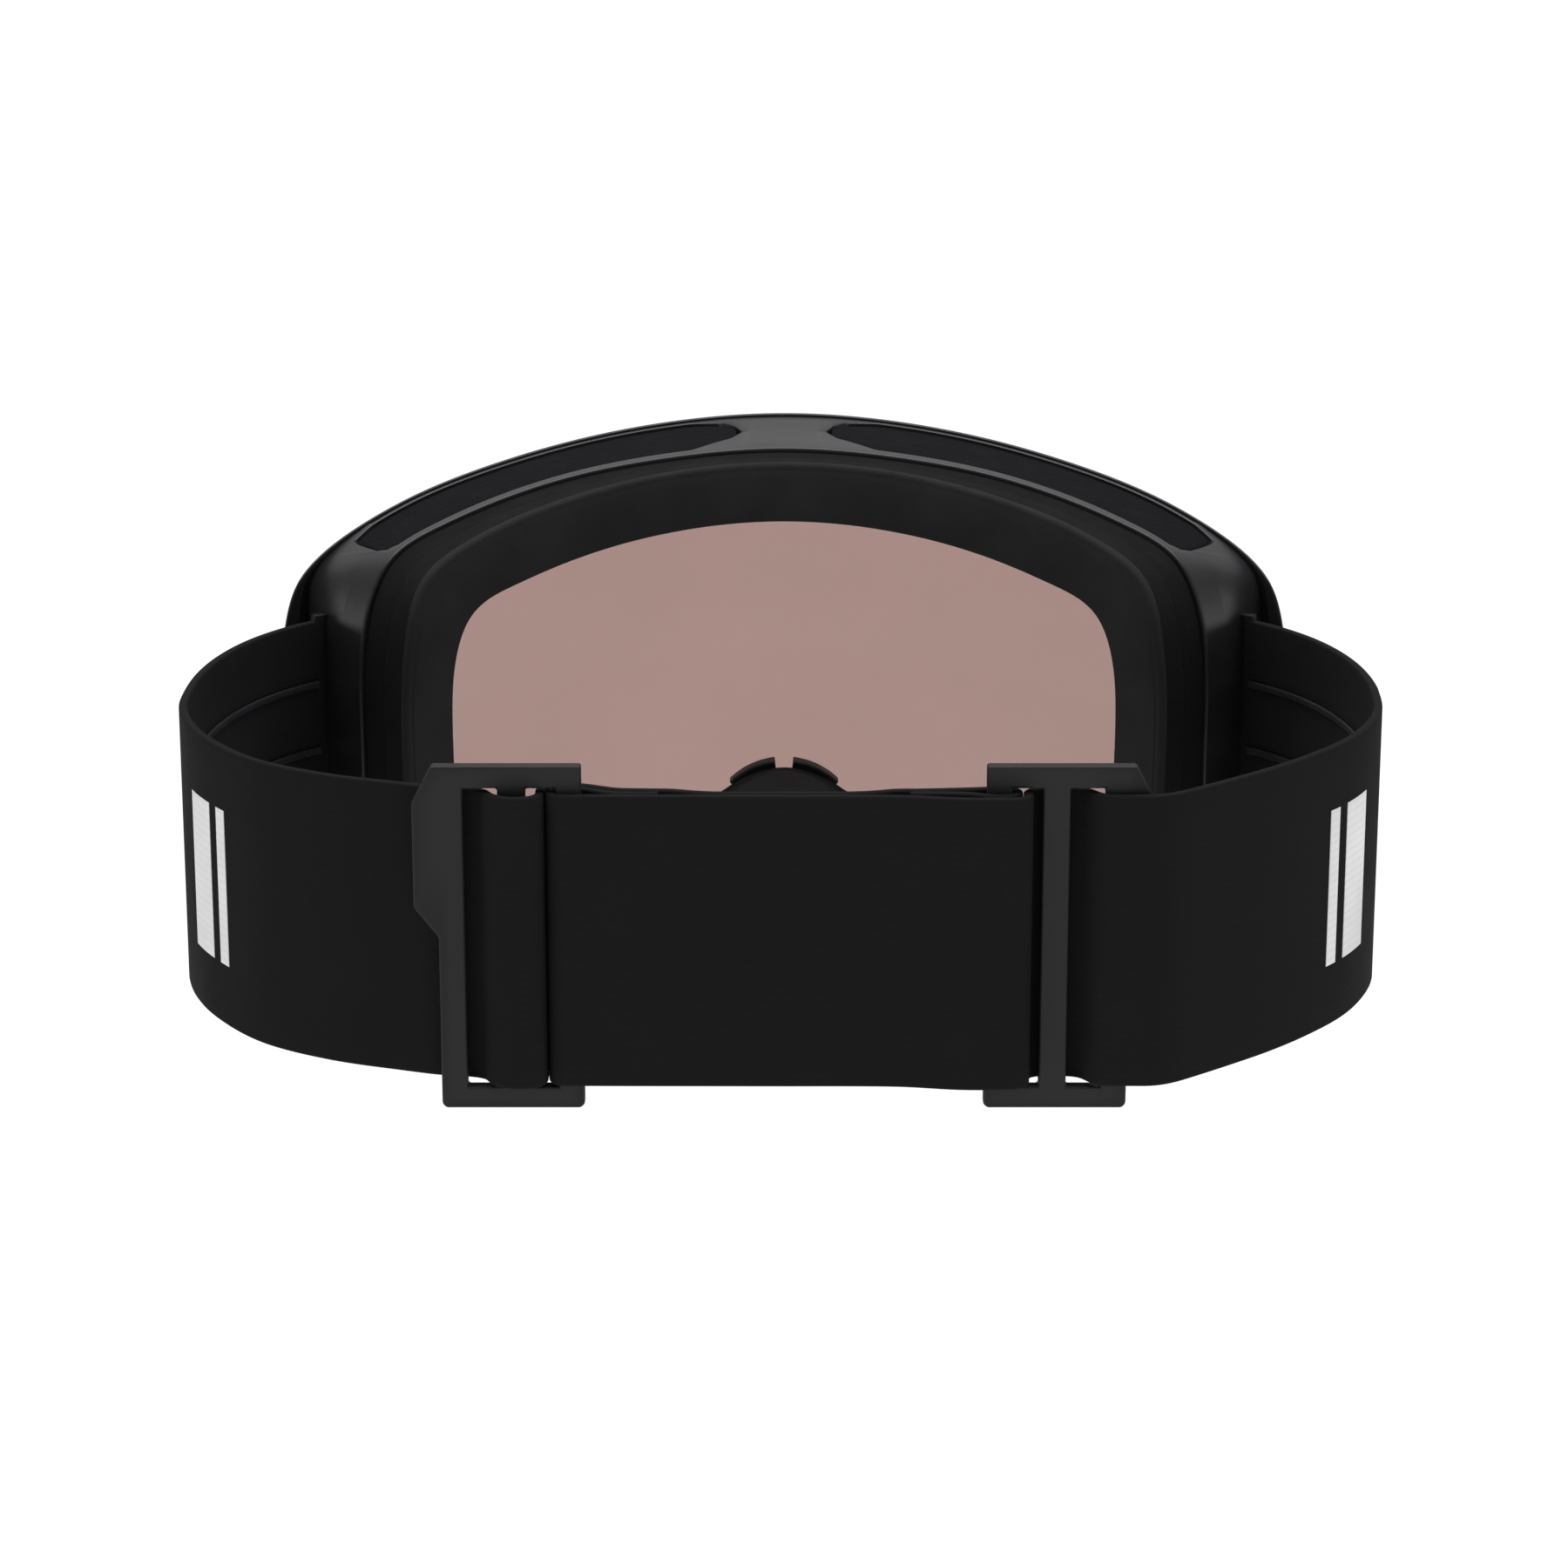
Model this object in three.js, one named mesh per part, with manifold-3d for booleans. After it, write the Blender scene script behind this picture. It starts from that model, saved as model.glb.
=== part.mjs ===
// Ski goggles: a moulded frame with face foam and foam-filled vents, a double lens on a rim that is
// held by magnets, and an elastic strap in two lengths, joined behind the head by two slide buckles.
//
// Millimetres. +X is the wearer's right, +Y the way the wearer looks, +Z up. While the pieces are
// made, y = 0 is where the strap meets the frame, and z = 0 is the middle of the strap's width. The
// finished group is moved so that its origin is in the middle of its base.

import * as THREE from 'three';
import { ParametricGeometry } from 'three/addons/geometries/ParametricGeometry.js';
import { mergeVertices } from 'three/addons/utils/BufferGeometryUtils.js';
import Module from 'manifold-3d';

const wasm = await Module();
wasm.setup();

// ---------------------------------------------------------------- driving dimensions

const FLOOR_Z = -49.1; // plane that the frame's two cheeks stand on
const GAP = 0.3; // clearance between touching pieces

const LENS_RADIUS = 110; // curve of the lens and of the frame's two faces, about a vertical axis
const LENS_FRONT_Y = 48; // foremost line of the outer lens
const BEAD_Y = 14; // the frame's rear edge at its middle
const FACE_RADIUS = 85; // curve of the foam that lies on the face
const FACE_Y = 2; // rear face of the foam at its middle

const OUTER_LENS_THICK = 1.2;
const INNER_LENS_THICK = 0.8;
const RIM_THICK = 2.4;
const FRAME_FRONT_DEPTH = 4.4; // from the lens's front face back to the frame's front face
const FLANGE_THICK = 1.9;
const LIP_THICK = 1.4; // the frame's front edge, which stands out past its wall
const LENS_MARGIN = 1.3; // from the frame's front edge in to the lens's edge
const WALL_THICK = 2.3;
const FLANGE_SET_BACK = 2; // from the eye opening in the foam out to the edge of the frame's flange
const FOAM_SET_BACK = 1.5; // from the frame's rear edge in to the foam's outer edge

const MAGNET_RADIUS = 2.1;
const MAGNET_THICK = 1.2;
const MAGNET_POINTS = [1.5, 5, 9]; // points of the half outlines that the magnets sit at

const STRAP_WIDTH = 45;
const STRAP_THICK = 1.4;
const BUCKLE_Y = -104.3; // middle plane of both buckles
const BUCKLE_THICK = 2.3;
const BAR_LEVEL = BUCKLE_THICK / 2 + GAP + STRAP_THICK / 2; // strap's middle, from a buckle's middle
const LAYER_STEP = STRAP_THICK + GAP; // from one strap layer to the next

// Half outlines seen from behind, [x, z] from the middle of the top, down the wearer's right side, to
// the middle of the nose arch. They have the same number of points, so that they can be joined up.
const FRONT_HALF = [
  [0, 49.7], [24, 48.1], [48, 43.8], [68, 37.8], [81.6, 29.7], [85, 21], [85.6, 1],
  [84.9, -18], [77, -35.5], [58.5, -46.8], [38, -49.4], [24, -44.2], [13, -32.2], [0, -27.2],
];
const WALL_HALF = [
  [0, 49.3], [23.9, 47.7], [47.8, 43.4], [67.7, 37.4], [80.2, 29.3], [81.4, 20], [81.3, 1],
  [80.6, -18], [75.6, -34.6], [58, -46.3], [37.8, -49], [23.5, -43.8], [12.6, -31.8], [0, -26.8],
];
const BEAD_HALF = [
  [0, 49.5], [20, 48.2], [38.5, 45.4], [55.5, 40.4], [65.6, 35.4], [70.2, 24.5], [71, 1],
  [70.2, -20], [64, -36], [50, -47], [34, -50.2], [21, -43], [12, -27], [0, -19],
];
const APERTURE_HALF = [
  [0, 38.5], [21, 37.4], [42, 34.4], [59, 29.5], [70, 23.5], [74.8, 14], [75.6, 1],
  [74, -12], [67, -25], [53, -34], [40, -36.5], [29, -32.2], [15.5, -22.8], [0, -16],
];
const EYE_HALF = [ // the eye opening at the face
  [0, 39.1], [14, 38.3], [29, 35.8], [42.6, 31.8], [51, 28], [54.3, 20.5], [55, 4],
  [53.9, -11], [49.4, -23], [41, -31], [31, -33], [22, -27], [12.1, -11], [0, -4.5],
];
const HOLE_HALF = [ // the eye opening where the foam meets the frame
  [0, 39.3], [14, 38.6], [29.5, 36.4], [43.6, 33.2], [53, 29.6], [56.6, 21], [57.5, 4],
  [56.3, -11], [51, -23.3], [42, -32], [31.2, -34.3], [22, -28.5], [12.6, -12.6], [0, -7],
];
const FACE_HALF = [
  [0, 49.2], [18, 48.1], [36, 44.7], [50, 40.2], [58.6, 34.6], [61.5, 22.5], [62, 2],
  [60.6, -15], [56, -30], [45, -41], [32, -44], [20.5, -37.5], [12.5, -21], [0, -13],
];

const STATIONS_PER_POINT = 2;

// ---------------------------------------------------------------- materials

const matt = (color, roughness) => new THREE.MeshStandardMaterial({ color, roughness, metalness: 0 });
const FINISH = {
  frame: () => matt(0x3a3b40, 0.42),
  ventFoam: () => matt(0x17171a, 0.95),
  faceFoam: () => matt(0x222222, 0.95),
  fleece: () => matt(0x262626, 1),
  rim: () => matt(0x2a2b2f, 0.3),
  lens: () => matt(0xa88a84, 0.08),
  seal: () => matt(0x1c1c1e, 0.9),
  magnet: () => new THREE.MeshStandardMaterial({ color: 0xb9bbbf, roughness: 0.3, metalness: 1 }),
  clip: () => matt(0x161618, 0.5),
  buckle: () => matt(0x36363a, 0.5),
  webbing: () => matt(0x1b1b1c, 0.92),
  silicone: () => matt(0x3c3c3f, 0.35),
};

// ---------------------------------------------------------------- shared geometry helpers

// The geometry with one vertex per corner and its faces pointing out.
function closed(geometry) {
  const bare = geometry.clone();
  for (const name of Object.keys(bare.attributes)) {
    if (name !== 'position') bare.deleteAttribute(name);
  }
  const merged = mergeVertices(bare, 1e-4);
  return signedVolume(merged) < 0 ? turnedInsideOut(merged) : merged;
}

function signedVolume(geometry) {
  const [a, b, c] = [new THREE.Vector3(), new THREE.Vector3(), new THREE.Vector3()];
  const { position } = geometry.attributes;
  const index = geometry.index.array;
  let volume = 0;
  for (let k = 0; k < index.length; k += 3) {
    a.fromBufferAttribute(position, index[k]);
    b.fromBufferAttribute(position, index[k + 1]);
    c.fromBufferAttribute(position, index[k + 2]);
    volume += a.dot(b.cross(c)) / 6;
  }
  return volume;
}

function turnedInsideOut(geometry) {
  const index = Array.from(geometry.index.array);
  for (let k = 0; k < index.length; k += 3) [index[k], index[k + 1]] = [index[k + 1], index[k]];
  geometry.setIndex(index);
  return geometry;
}

function solid(geometry) {
  const mesh = closed(geometry);
  return new wasm.Manifold(new wasm.Mesh({
    numProp: 3,
    vertProperties: new Float32Array(mesh.attributes.position.array),
    triVerts: new Uint32Array(mesh.index.array),
  }));
}

function geometryOf(manifold) {
  const mesh = manifold.getMesh();
  const geometry = new THREE.BufferGeometry();
  geometry.setAttribute('position', new THREE.BufferAttribute(new Float32Array(mesh.vertProperties), 3));
  geometry.setIndex(Array.from(mesh.triVerts));
  return geometry;
}

const V = (x, y) => new THREE.Vector2(x, y);

const mirrored = (geometry) => closed(geometry.clone().scale(-1, 1, 1));

// A flat shape drawn in plan (x, y), made into a solid between two heights.
function upright(shape, low, high) {
  return new THREE.ExtrudeGeometry(shape, { depth: high - low, bevelEnabled: false }).translate(0, 0, low);
}

// A flat shape drawn as seen from behind (x, z), made into a solid between two depths.
function crossways(shape, rear, front) {
  const geometry = new THREE.ExtrudeGeometry(shape, { depth: front - rear, bevelEnabled: false });
  return geometry.rotateX(Math.PI / 2).translate(0, front, 0);
}

// ---------------------------------------------------------------- outlines and rings

// The whole outline, sampled at evenly spread stations, as seen from behind.
function outline(half) {
  const left = half.slice(1, -1).reverse().map(([x, z]) => [-x, z]);
  const points = [...half, ...left].map(([x, z]) => new THREE.Vector3(x, 0, z));
  const curve = new THREE.CatmullRomCurve3(points, true, 'centripetal');
  const count = points.length * STATIONS_PER_POINT;
  return Array.from({ length: count }, (_, k) => curve.getPoint(k / count));
}

// The outline moved towards its inside, square to itself.
function inset(line, distance) {
  const count = line.length;
  return line.map((point, k) => {
    const along = line[(k + 1) % count].clone().sub(line[(k - 1 + count) % count]).normalize();
    return point.clone().add(new THREE.Vector3(along.z, 0, -along.x).multiplyScalar(distance));
  });
}

const between = (lineA, lineB, share) => lineA.map((point, k) => point.clone().lerp(lineB[k], share));

// The outline laid on a curved face whose depth is a function of x.
const laidOn = (line, depth) => line.map(({ x, z }) => new THREE.Vector3(x, depth(x), z));

const bow = (x, radius) => radius - Math.sqrt(radius * radius - x * x);
const lensY = (back = 0) => (x) => LENS_FRONT_Y - back - bow(x, LENS_RADIUS);
const beadY = (ahead = 0) => (x) => BEAD_Y + ahead - bow(x, LENS_RADIUS);
const faceY = (ahead = 0) => (x) => FACE_Y + ahead - bow(x, FACE_RADIUS);

// A closed ring: the corners of its cross-section, each a line that runs all the way round.
function ring(corners) {
  const around = corners[0].length;
  const place = (u, v, target) => {
    const corner = corners[Math.round(v * corners.length) % corners.length];
    target.copy(corner[Math.round(u * around) % around]);
  };
  return closed(new ParametricGeometry(place, around, corners.length));
}

const FRONT = outline(FRONT_HALF);
const WALL = outline(WALL_HALF);
const BEAD = outline(BEAD_HALF);
const APERTURE = outline(APERTURE_HALF);
const EYE = outline(EYE_HALF);
const HOLE = outline(HOLE_HALF);
const FACE = outline(FACE_HALF);
const LENS = inset(FRONT, LENS_MARGIN);

// ---------------------------------------------------------------- frame

const WALL_REAR = laidOn(BEAD, beadY());
const WALL_FRONT = laidOn(WALL, lensY(FRAME_FRONT_DEPTH + LIP_THICK));

// A point of the frame's outer wall: how far along the half outline's points, and share of the depth
// from the rear edge to the front edge.
function wallPoint(along, depthShare) {
  const station = along * STATIONS_PER_POINT;
  const k = Math.floor(station);
  const at = (line) => line[k].clone().lerp(line[k + 1], station - k);
  return at(WALL_REAR).lerp(at(WALL_FRONT), depthShare);
}

const FRAME_DEPTH = 28; // roughly, from the frame's rear edge to its front edge
const POINT_SPACING = 20; // roughly, between two points of an outline
const VENT_TIP = 0.2; // length of a vent's pointed end, in points of the outline

// The plan of a vent in the wall, pointed at both ends.
function ventPlan({ from, to, rear, front }, clearance) {
  const side = clearance / FRAME_DEPTH;
  const end = clearance / POINT_SPACING;
  const [low, high] = [rear + side, front - side];
  const steps = 8;
  const row = (share) => Array.from({ length: steps + 1 }, (_, k) => {
    const along = THREE.MathUtils.lerp(from + end + VENT_TIP, to - end - VENT_TIP, k / steps);
    return wallPoint(along, share);
  });
  const middle = (low + high) / 2;
  const points = [
    wallPoint(from + end, middle), ...row(high), wallPoint(to - end, middle), ...row(low).reverse(),
  ];
  return new THREE.Shape(points.map(({ x, y }) => new THREE.Vector2(x, y)));
}

const TOP_VENT = { from: 0.32, to: 3.7, rear: 0.16, front: 0.93, low: 22, high: 60 };
const BOTTOM_VENT = { from: 7.4, to: 8.8, rear: 0.2, front: 0.8, low: -60, high: -24 };

const ventCutter = (vent, clearance) =>
  solid(upright(ventPlan(vent, clearance), vent.low, vent.high));

function frameShell() {
  return ring([
    WALL_REAR,
    WALL_FRONT,
    laidOn(FRONT, lensY(FRAME_FRONT_DEPTH + LIP_THICK)),
    laidOn(FRONT, lensY(FRAME_FRONT_DEPTH)),
    laidOn(APERTURE, lensY(FRAME_FRONT_DEPTH)),
    laidOn(APERTURE, lensY(FRAME_FRONT_DEPTH + FLANGE_THICK)),
    laidOn(inset(WALL, WALL_THICK), lensY(FRAME_FRONT_DEPTH + FLANGE_THICK)),
    laidOn(inset(BEAD, WALL_THICK), beadY(FLANGE_THICK)),
    laidOn(inset(HOLE, -FLANGE_SET_BACK), beadY(FLANGE_THICK)),
    laidOn(inset(HOLE, -FLANGE_SET_BACK), beadY()),
  ]);
}

// The stop where the strap's clip goes through the side wall, at mid height.
const CLIP_POINT = 6;
const CLIP_SHARE = 0.7;
const CLIP_HALF_HEIGHT = STRAP_WIDTH / 2 + 1;
const clipFrame = () => {
  const rear = wallPoint(CLIP_POINT, 0);
  const front = wallPoint(CLIP_POINT, 1);
  const angle = Math.atan2(front.y - rear.y, front.x - rear.x);
  return { at: wallPoint(CLIP_POINT, CLIP_SHARE), angle };
};

// Places a solid drawn at the origin, +X along the wall towards the front and -Y out of the wall.
function onWall(geometry) {
  const { at, angle } = clipFrame();
  return geometry.rotateZ(angle).translate(at.x, at.y, 0);
}

// The clip at a strap's end, grown by a clearance: a head outside the wall, a stem through its slot
// and a barb inside.
function strapClip(grow = 0) {
  const [head, stem, barb] = [2, 0.75, 1.65].map((half) => half + grow);
  const [outside, neck, catchY, tip] = [-1.9 - grow, -GAP + grow, 2.7 - grow, 4.4 + grow];
  const shape = new THREE.Shape([
    V(-head, outside), V(head, outside), V(head, neck), V(stem, neck), V(stem, catchY),
    V(barb, catchY), V(stem, tip), V(-stem, tip), V(-barb, catchY), V(-stem, catchY),
    V(-stem, neck), V(-head, neck),
  ]);
  return onWall(upright(shape, -CLIP_HALF_HEIGHT - grow, CLIP_HALF_HEIGHT + grow));
}

// Two raised lips on the nose bridge with a notch between them.
const NOSE_LIP = {
  centre: -19.65, radius: 13.4, depth: 5, rear: 14.3, front: 17.5, from: 7, to: 45,
};
function noseLip() {
  const { centre, radius, depth, rear, front, from, to } = NOSE_LIP;
  const [start, end] = [90 - to, 90 - from].map(THREE.MathUtils.degToRad);
  const shape = new THREE.Shape();
  shape.absarc(0, 0, radius, start, end, false);
  shape.absarc(0, 0, radius - depth, end, start, true);
  return crossways(shape, rear, front).translate(0, 0, centre);
}

function frame() {
  const floorCut = new THREE.BoxGeometry(300, 300, 40).translate(0, 0, FLOOR_Z - 20);
  let body = solid(frameShell());
  for (const lip of [noseLip(), mirrored(noseLip())]) body = body.add(solid(lip));
  for (const vent of [TOP_VENT, BOTTOM_VENT]) {
    const cutter = upright(ventPlan(vent, 0), vent.low, vent.high);
    body = body.subtract(solid(cutter)).subtract(solid(mirrored(cutter)));
  }
  body = body.subtract(solid(strapClip(GAP))).subtract(solid(mirrored(strapClip(GAP))));
  for (const pocket of magnetDiscs(FRAME_FRONT_DEPTH, MAGNET_THICK, GAP)) {
    body = body.subtract(solid(pocket)).subtract(solid(mirrored(pocket)));
  }
  return geometryOf(body.subtract(solid(floorCut)));
}

// The foam in a vent: the part of the wall that the vent took, a little thinner and set back.
function ventFoam(vent) {
  const skin = 0.5;
  const wall = ring([
    between(WALL_REAR, WALL_FRONT, 0.03),
    between(WALL_REAR, WALL_FRONT, 0.97),
    inset(between(WALL_REAR, WALL_FRONT, 0.97), WALL_THICK),
    inset(between(WALL_REAR, WALL_FRONT, 0.03), WALL_THICK),
  ].map((line, k) => (k < 2 ? inset(line, skin) : line)));
  return geometryOf(solid(wall).intersect(ventCutter(vent, GAP)));
}

// ---------------------------------------------------------------- face foam

// One layer of the foam ring, between two shares of the way from the frame to the face.
function foamLayer(start, finish) {
  const frameOuter = laidOn(inset(BEAD, FOAM_SET_BACK), beadY(-GAP));
  const frameInner = laidOn(HOLE, beadY(-GAP));
  const faceOuter = laidOn(FACE, faceY());
  const faceInner = laidOn(EYE, faceY());
  const outer = (share) => between(frameOuter, faceOuter, share);
  const inner = (share) => between(frameInner, faceInner, share);
  return ring([outer(start), outer(finish), inner(finish), inner(start)]);
}

// ---------------------------------------------------------------- lens unit

const planar = (line) => new THREE.Shape(line.map(({ x, z }) => new THREE.Vector2(x, z)));

// A lens sheet: the curved band between two depths behind the front face, cut to an outline.
function lensSheet(line, back, thick) {
  const steps = 36;
  const halfWidth = FRONT_HALF[6][0] + 2; // a little past the outline, which cuts the band
  const arc = (depth) => Array.from({ length: steps + 1 }, (_, k) => {
    const x = halfWidth * (2 * k / steps - 1);
    return new THREE.Vector2(x, lensY(depth)(x));
  });
  const band = upright(new THREE.Shape([...arc(back + thick), ...arc(back).reverse()]), -60, 60);
  return geometryOf(solid(band).intersect(solid(crossways(planar(line), -20, 60))));
}

const LENS_BACK = OUTER_LENS_THICK + GAP;
const INNER_LENS_LINE = between(LENS, APERTURE, 0.8);

function rim() {
  const corner = (line, back) => laidOn(line, lensY(back));
  const innerLine = between(LENS, APERTURE, 0.76);
  let body = solid(ring([
    corner(inset(LENS, 0.3), LENS_BACK),
    corner(innerLine, LENS_BACK),
    corner(innerLine, LENS_BACK + RIM_THICK),
    corner(inset(LENS, 0.3), LENS_BACK + RIM_THICK),
  ]));
  for (const pocket of magnetDiscs(LENS_BACK + RIM_THICK - MAGNET_THICK, MAGNET_THICK, GAP)) {
    body = body.subtract(solid(pocket)).subtract(solid(mirrored(pocket)));
  }
  return geometryOf(body);
}

// The foam strip that holds the two lenses apart and seals the air between them.
function lensSeal() {
  const innerLine = between(LENS, APERTURE, 0.97);
  const inner = LENS_BACK + RIM_THICK - INNER_LENS_THICK - GAP;
  const corner = (line, back) => laidOn(line, lensY(back));
  return ring([
    corner(INNER_LENS_LINE, LENS_BACK),
    corner(innerLine, LENS_BACK),
    corner(innerLine, inner),
    corner(INNER_LENS_LINE, inner),
  ]);
}

// Discs on the wearer's right, square to the lens's curve, that start a depth behind its front face.
function magnetDiscs(back, thick, clearance) {
  const line = between(LENS, APERTURE, 0.46);
  return MAGNET_POINTS.map((point) => {
    const { x, z } = line[point * STATIONS_PER_POINT];
    const disc = new THREE.CylinderGeometry(MAGNET_RADIUS + clearance, MAGNET_RADIUS + clearance,
      thick + clearance, 12);
    const turn = -Math.asin(x / LENS_RADIUS);
    return disc.translate(0, -(thick + clearance) / 2, 0).rotateZ(turn).translate(x, lensY(back)(x), z);
  });
}

// ---------------------------------------------------------------- strap

// A length of webbing that follows a plan curve: its edge on, and its width upright.
function webbing(points, { thick = STRAP_THICK, width = STRAP_WIDTH, z = 0, offset = 0 } = {}) {
  const count = points.length;
  const sideways = points.map((point, k) => {
    const along = points[Math.min(k + 1, count - 1)].clone().sub(points[Math.max(k - 1, 0)]);
    return new THREE.Vector2(-along.y, along.x).normalize();
  });
  const edge = (distance) => points.map((p, k) => p.clone().addScaledVector(sideways[k], distance));
  const shape = new THREE.Shape([...edge(offset + thick / 2), ...edge(offset - thick / 2).reverse()]);
  return upright(shape, z - width / 2, z + width / 2);
}

// Plan of the strap at the wearer's right, from the frame to behind the head.
function sidePlan() {
  const temple = new THREE.CubicBezierCurve(V(81.6, -1.6), V(89.5, -9), V(95.2, -24), V(95.2, -46));
  const corner = new THREE.CubicBezierCurve(V(95.2, -46), V(95.2, -73), V(76, -97), V(53, -101.2));
  return [...temple.getPoints(9), ...corner.getPoints(14).slice(1)];
}

// Plan of a strap stretch that turns smoothly through a few points.
const smoothPlan = (points, steps) => new THREE.SplineCurve(points.map(([x, y]) => V(x, y))).getPoints(steps);

// Buckle bars, from the middle of the head outwards.
const BARS = { inner: [29.7, 33.5], middle: [37.9, 42], outer: [47.1, 51] };
const over = BUCKLE_Y - BAR_LEVEL; // strap level behind a buckle's bars, away from the head
const under = BUCKLE_Y + BAR_LEVEL; // strap level between a buckle's bars and the head

const slotMiddle = 36.4; // where a strap passes the sewn loop through the inner slot

const rightWeave = () => webbing(smoothPlan(
  [[52.4, over], [49, over], [46.6, over + 0.5], [44.4, under - 0.8], [42, under], [38.4, under],
    [36.9, under - 0.7], [slotMiddle, BUCKLE_Y], [slotMiddle, over + 0.5]], 24));

const leftWeave = () => mirrored(webbing(smoothPlan(
  [[45.4, under - 1.2], [44.1, over + 1.4], [42, over], [38.4, over], [36.9, over + 0.7],
    [slotMiddle, BUCKLE_Y], [slotMiddle, under - 0.2]], 22)));

// The end of a strap, folded round a buckle's inner bar and sewn back on itself.
function sewnLoop() {
  const [near, far] = BARS.inner;
  const outside = BAR_LEVEL + STRAP_THICK / 2;
  const inside = BAR_LEVEL - STRAP_THICK / 2;
  const tail = 26;
  const loop = new THREE.Shape();
  loop.moveTo(tail, BUCKLE_Y - outside);
  loop.lineTo(far - 0.6, BUCKLE_Y - outside);
  loop.ellipse(0, outside, 1.9, outside, -Math.PI / 2, Math.PI / 2, false);
  loop.lineTo(tail, BUCKLE_Y + outside);
  loop.closePath();
  const hole = new THREE.Path();
  hole.moveTo(near - 0.6, BUCKLE_Y - inside);
  hole.lineTo(far + 0.4, BUCKLE_Y - inside);
  hole.lineTo(far + 0.4, BUCKLE_Y + inside);
  hole.lineTo(near - 0.6, BUCKLE_Y + inside);
  loop.holes.push(hole);
  return upright(loop, -STRAP_WIDTH / 2, STRAP_WIDTH / 2);
}

// The two layers between the buckles. They come together at the middle, and stand clear of the
// buckles' sewn loops towards their ends, as far in as the buckles slide.
function middleLayer(from, to, clearLevel, middleLevel) {
  const points = [[from, clearLevel], [-15, clearLevel], [-8, middleLevel], [0, middleLevel],
    [8, middleLevel], [15, clearLevel], [to, clearLevel]];
  return webbing(smoothPlan(points, 28));
}

const outerLayer = () => middleLayer(-28, 34.8, over - LAYER_STEP, over);
const innerLayer = () => middleLayer(-35, 28, under + LAYER_STEP, over + LAYER_STEP + 2 * GAP);

const GRIP = { thick: 0.5, width: 1, spacing: 11.6 };
const gripLine = (row) => webbing(sidePlan().slice(1, -4), {
  thick: GRIP.thick,
  width: GRIP.width,
  z: row * GRIP.spacing,
  offset: -(STRAP_THICK / 2 + GAP + GRIP.thick / 2),
});

// ---------------------------------------------------------------- buckles

// A ladder buckle with three bars, and a thumb tab on the upper part of its outer bar.
function buckle() {
  const [half, slotHalf] = [26.5, 23.1];
  const [left, right] = [BARS.inner[0], BARS.outer[1]];
  const tab = right + 3.6;
  const shape = new THREE.Shape([
    V(left + 0.6, -half), V(right - 0.6, -half), V(right, -half + 0.6), V(right, 0.2),
    V(tab, 4.8), V(tab, 20.8), V(right + 0.6, half), V(left, half),
    V(left, -half + 0.6),
  ]);
  let body = solid(crossways(shape, BUCKLE_Y - BUCKLE_THICK / 2, BUCKLE_Y + BUCKLE_THICK / 2));
  for (const [from, to] of [[BARS.inner[1], BARS.middle[0]], [BARS.middle[1], BARS.outer[0]]]) {
    const slot = new THREE.BoxGeometry(to - from, 2 * BUCKLE_THICK, 2 * slotHalf);
    body = body.subtract(solid(slot.translate((from + to) / 2, BUCKLE_Y, 0)));
  }
  return geometryOf(body);
}

// ---------------------------------------------------------------- assembly

const goggles = new THREE.Group();

function add(name, geometry, finish) {
  const mesh = new THREE.Mesh(closed(geometry), FINISH[finish]());
  mesh.name = name;
  goggles.add(mesh);
}

// A piece made for the wearer's right, and its mirror image for the left.
function addPair(name, geometry, finish) {
  add(`${name}_right`, geometry, finish);
  add(`${name}_left`, mirrored(geometry), finish);
}

add('frame', frame(), 'frame');
addPair('top_vent_foam', ventFoam(TOP_VENT), 'ventFoam');
addPair('bottom_vent_foam', ventFoam(BOTTOM_VENT), 'ventFoam');

add('foam_base_layer', foamLayer(0, 0.42), 'faceFoam');
add('foam_middle_layer', foamLayer(0.47, 0.82), 'faceFoam');
add('foam_fleece_layer', foamLayer(0.87, 1), 'fleece');

add('outer_lens', lensSheet(LENS, 0, OUTER_LENS_THICK), 'lens');
add('lens_rim', rim(), 'rim');
add('lens_seal', lensSeal(), 'seal');
add('inner_lens', lensSheet(INNER_LENS_LINE, LENS_BACK + RIM_THICK - INNER_LENS_THICK,
  INNER_LENS_THICK), 'lens');

magnetDiscs(LENS_BACK + RIM_THICK - MAGNET_THICK + GAP / 2, MAGNET_THICK - GAP / 2, 0)
  .forEach((disc, k) => addPair(`rim_magnet_${k + 1}`, disc, 'magnet'));
magnetDiscs(FRAME_FRONT_DEPTH + GAP / 2, MAGNET_THICK - GAP / 2, 0)
  .forEach((disc, k) => addPair(`frame_magnet_${k + 1}`, disc, 'magnet'));

addPair('strap_clip', strapClip(), 'clip');
addPair('strap_side', webbing(sidePlan()), 'webbing');
add('strap_weave_right', rightWeave(), 'webbing');
add('strap_weave_left', leftWeave(), 'webbing');
addPair('strap_loop', sewnLoop(), 'webbing');
add('strap_outer_layer', outerLayer(), 'webbing');
add('strap_inner_layer', innerLayer(), 'webbing');
[1, 0, -1].forEach((row, k) => addPair(`grip_line_${k + 1}`, gripLine(row), 'silicone'));
addPair('buckle', buckle(), 'buckle');

const box = new THREE.Box3().setFromObject(goggles);
const middle = box.getCenter(new THREE.Vector3());
goggles.position.set(-middle.x, -middle.y, -box.min.z);

export default goggles;
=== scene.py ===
"""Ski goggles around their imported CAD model: the frame, its vents and face foam, the lens, the strap.

Metres, +X the wearer's right, +Y the way the wearer looks, +Z up. Most shapes are drawn in
millimetres in the CAD's design coordinates, whose origin is where the strap meets the frame, half
way up the strap, and row() turns them into the frame's metres.
"""

import math

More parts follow.
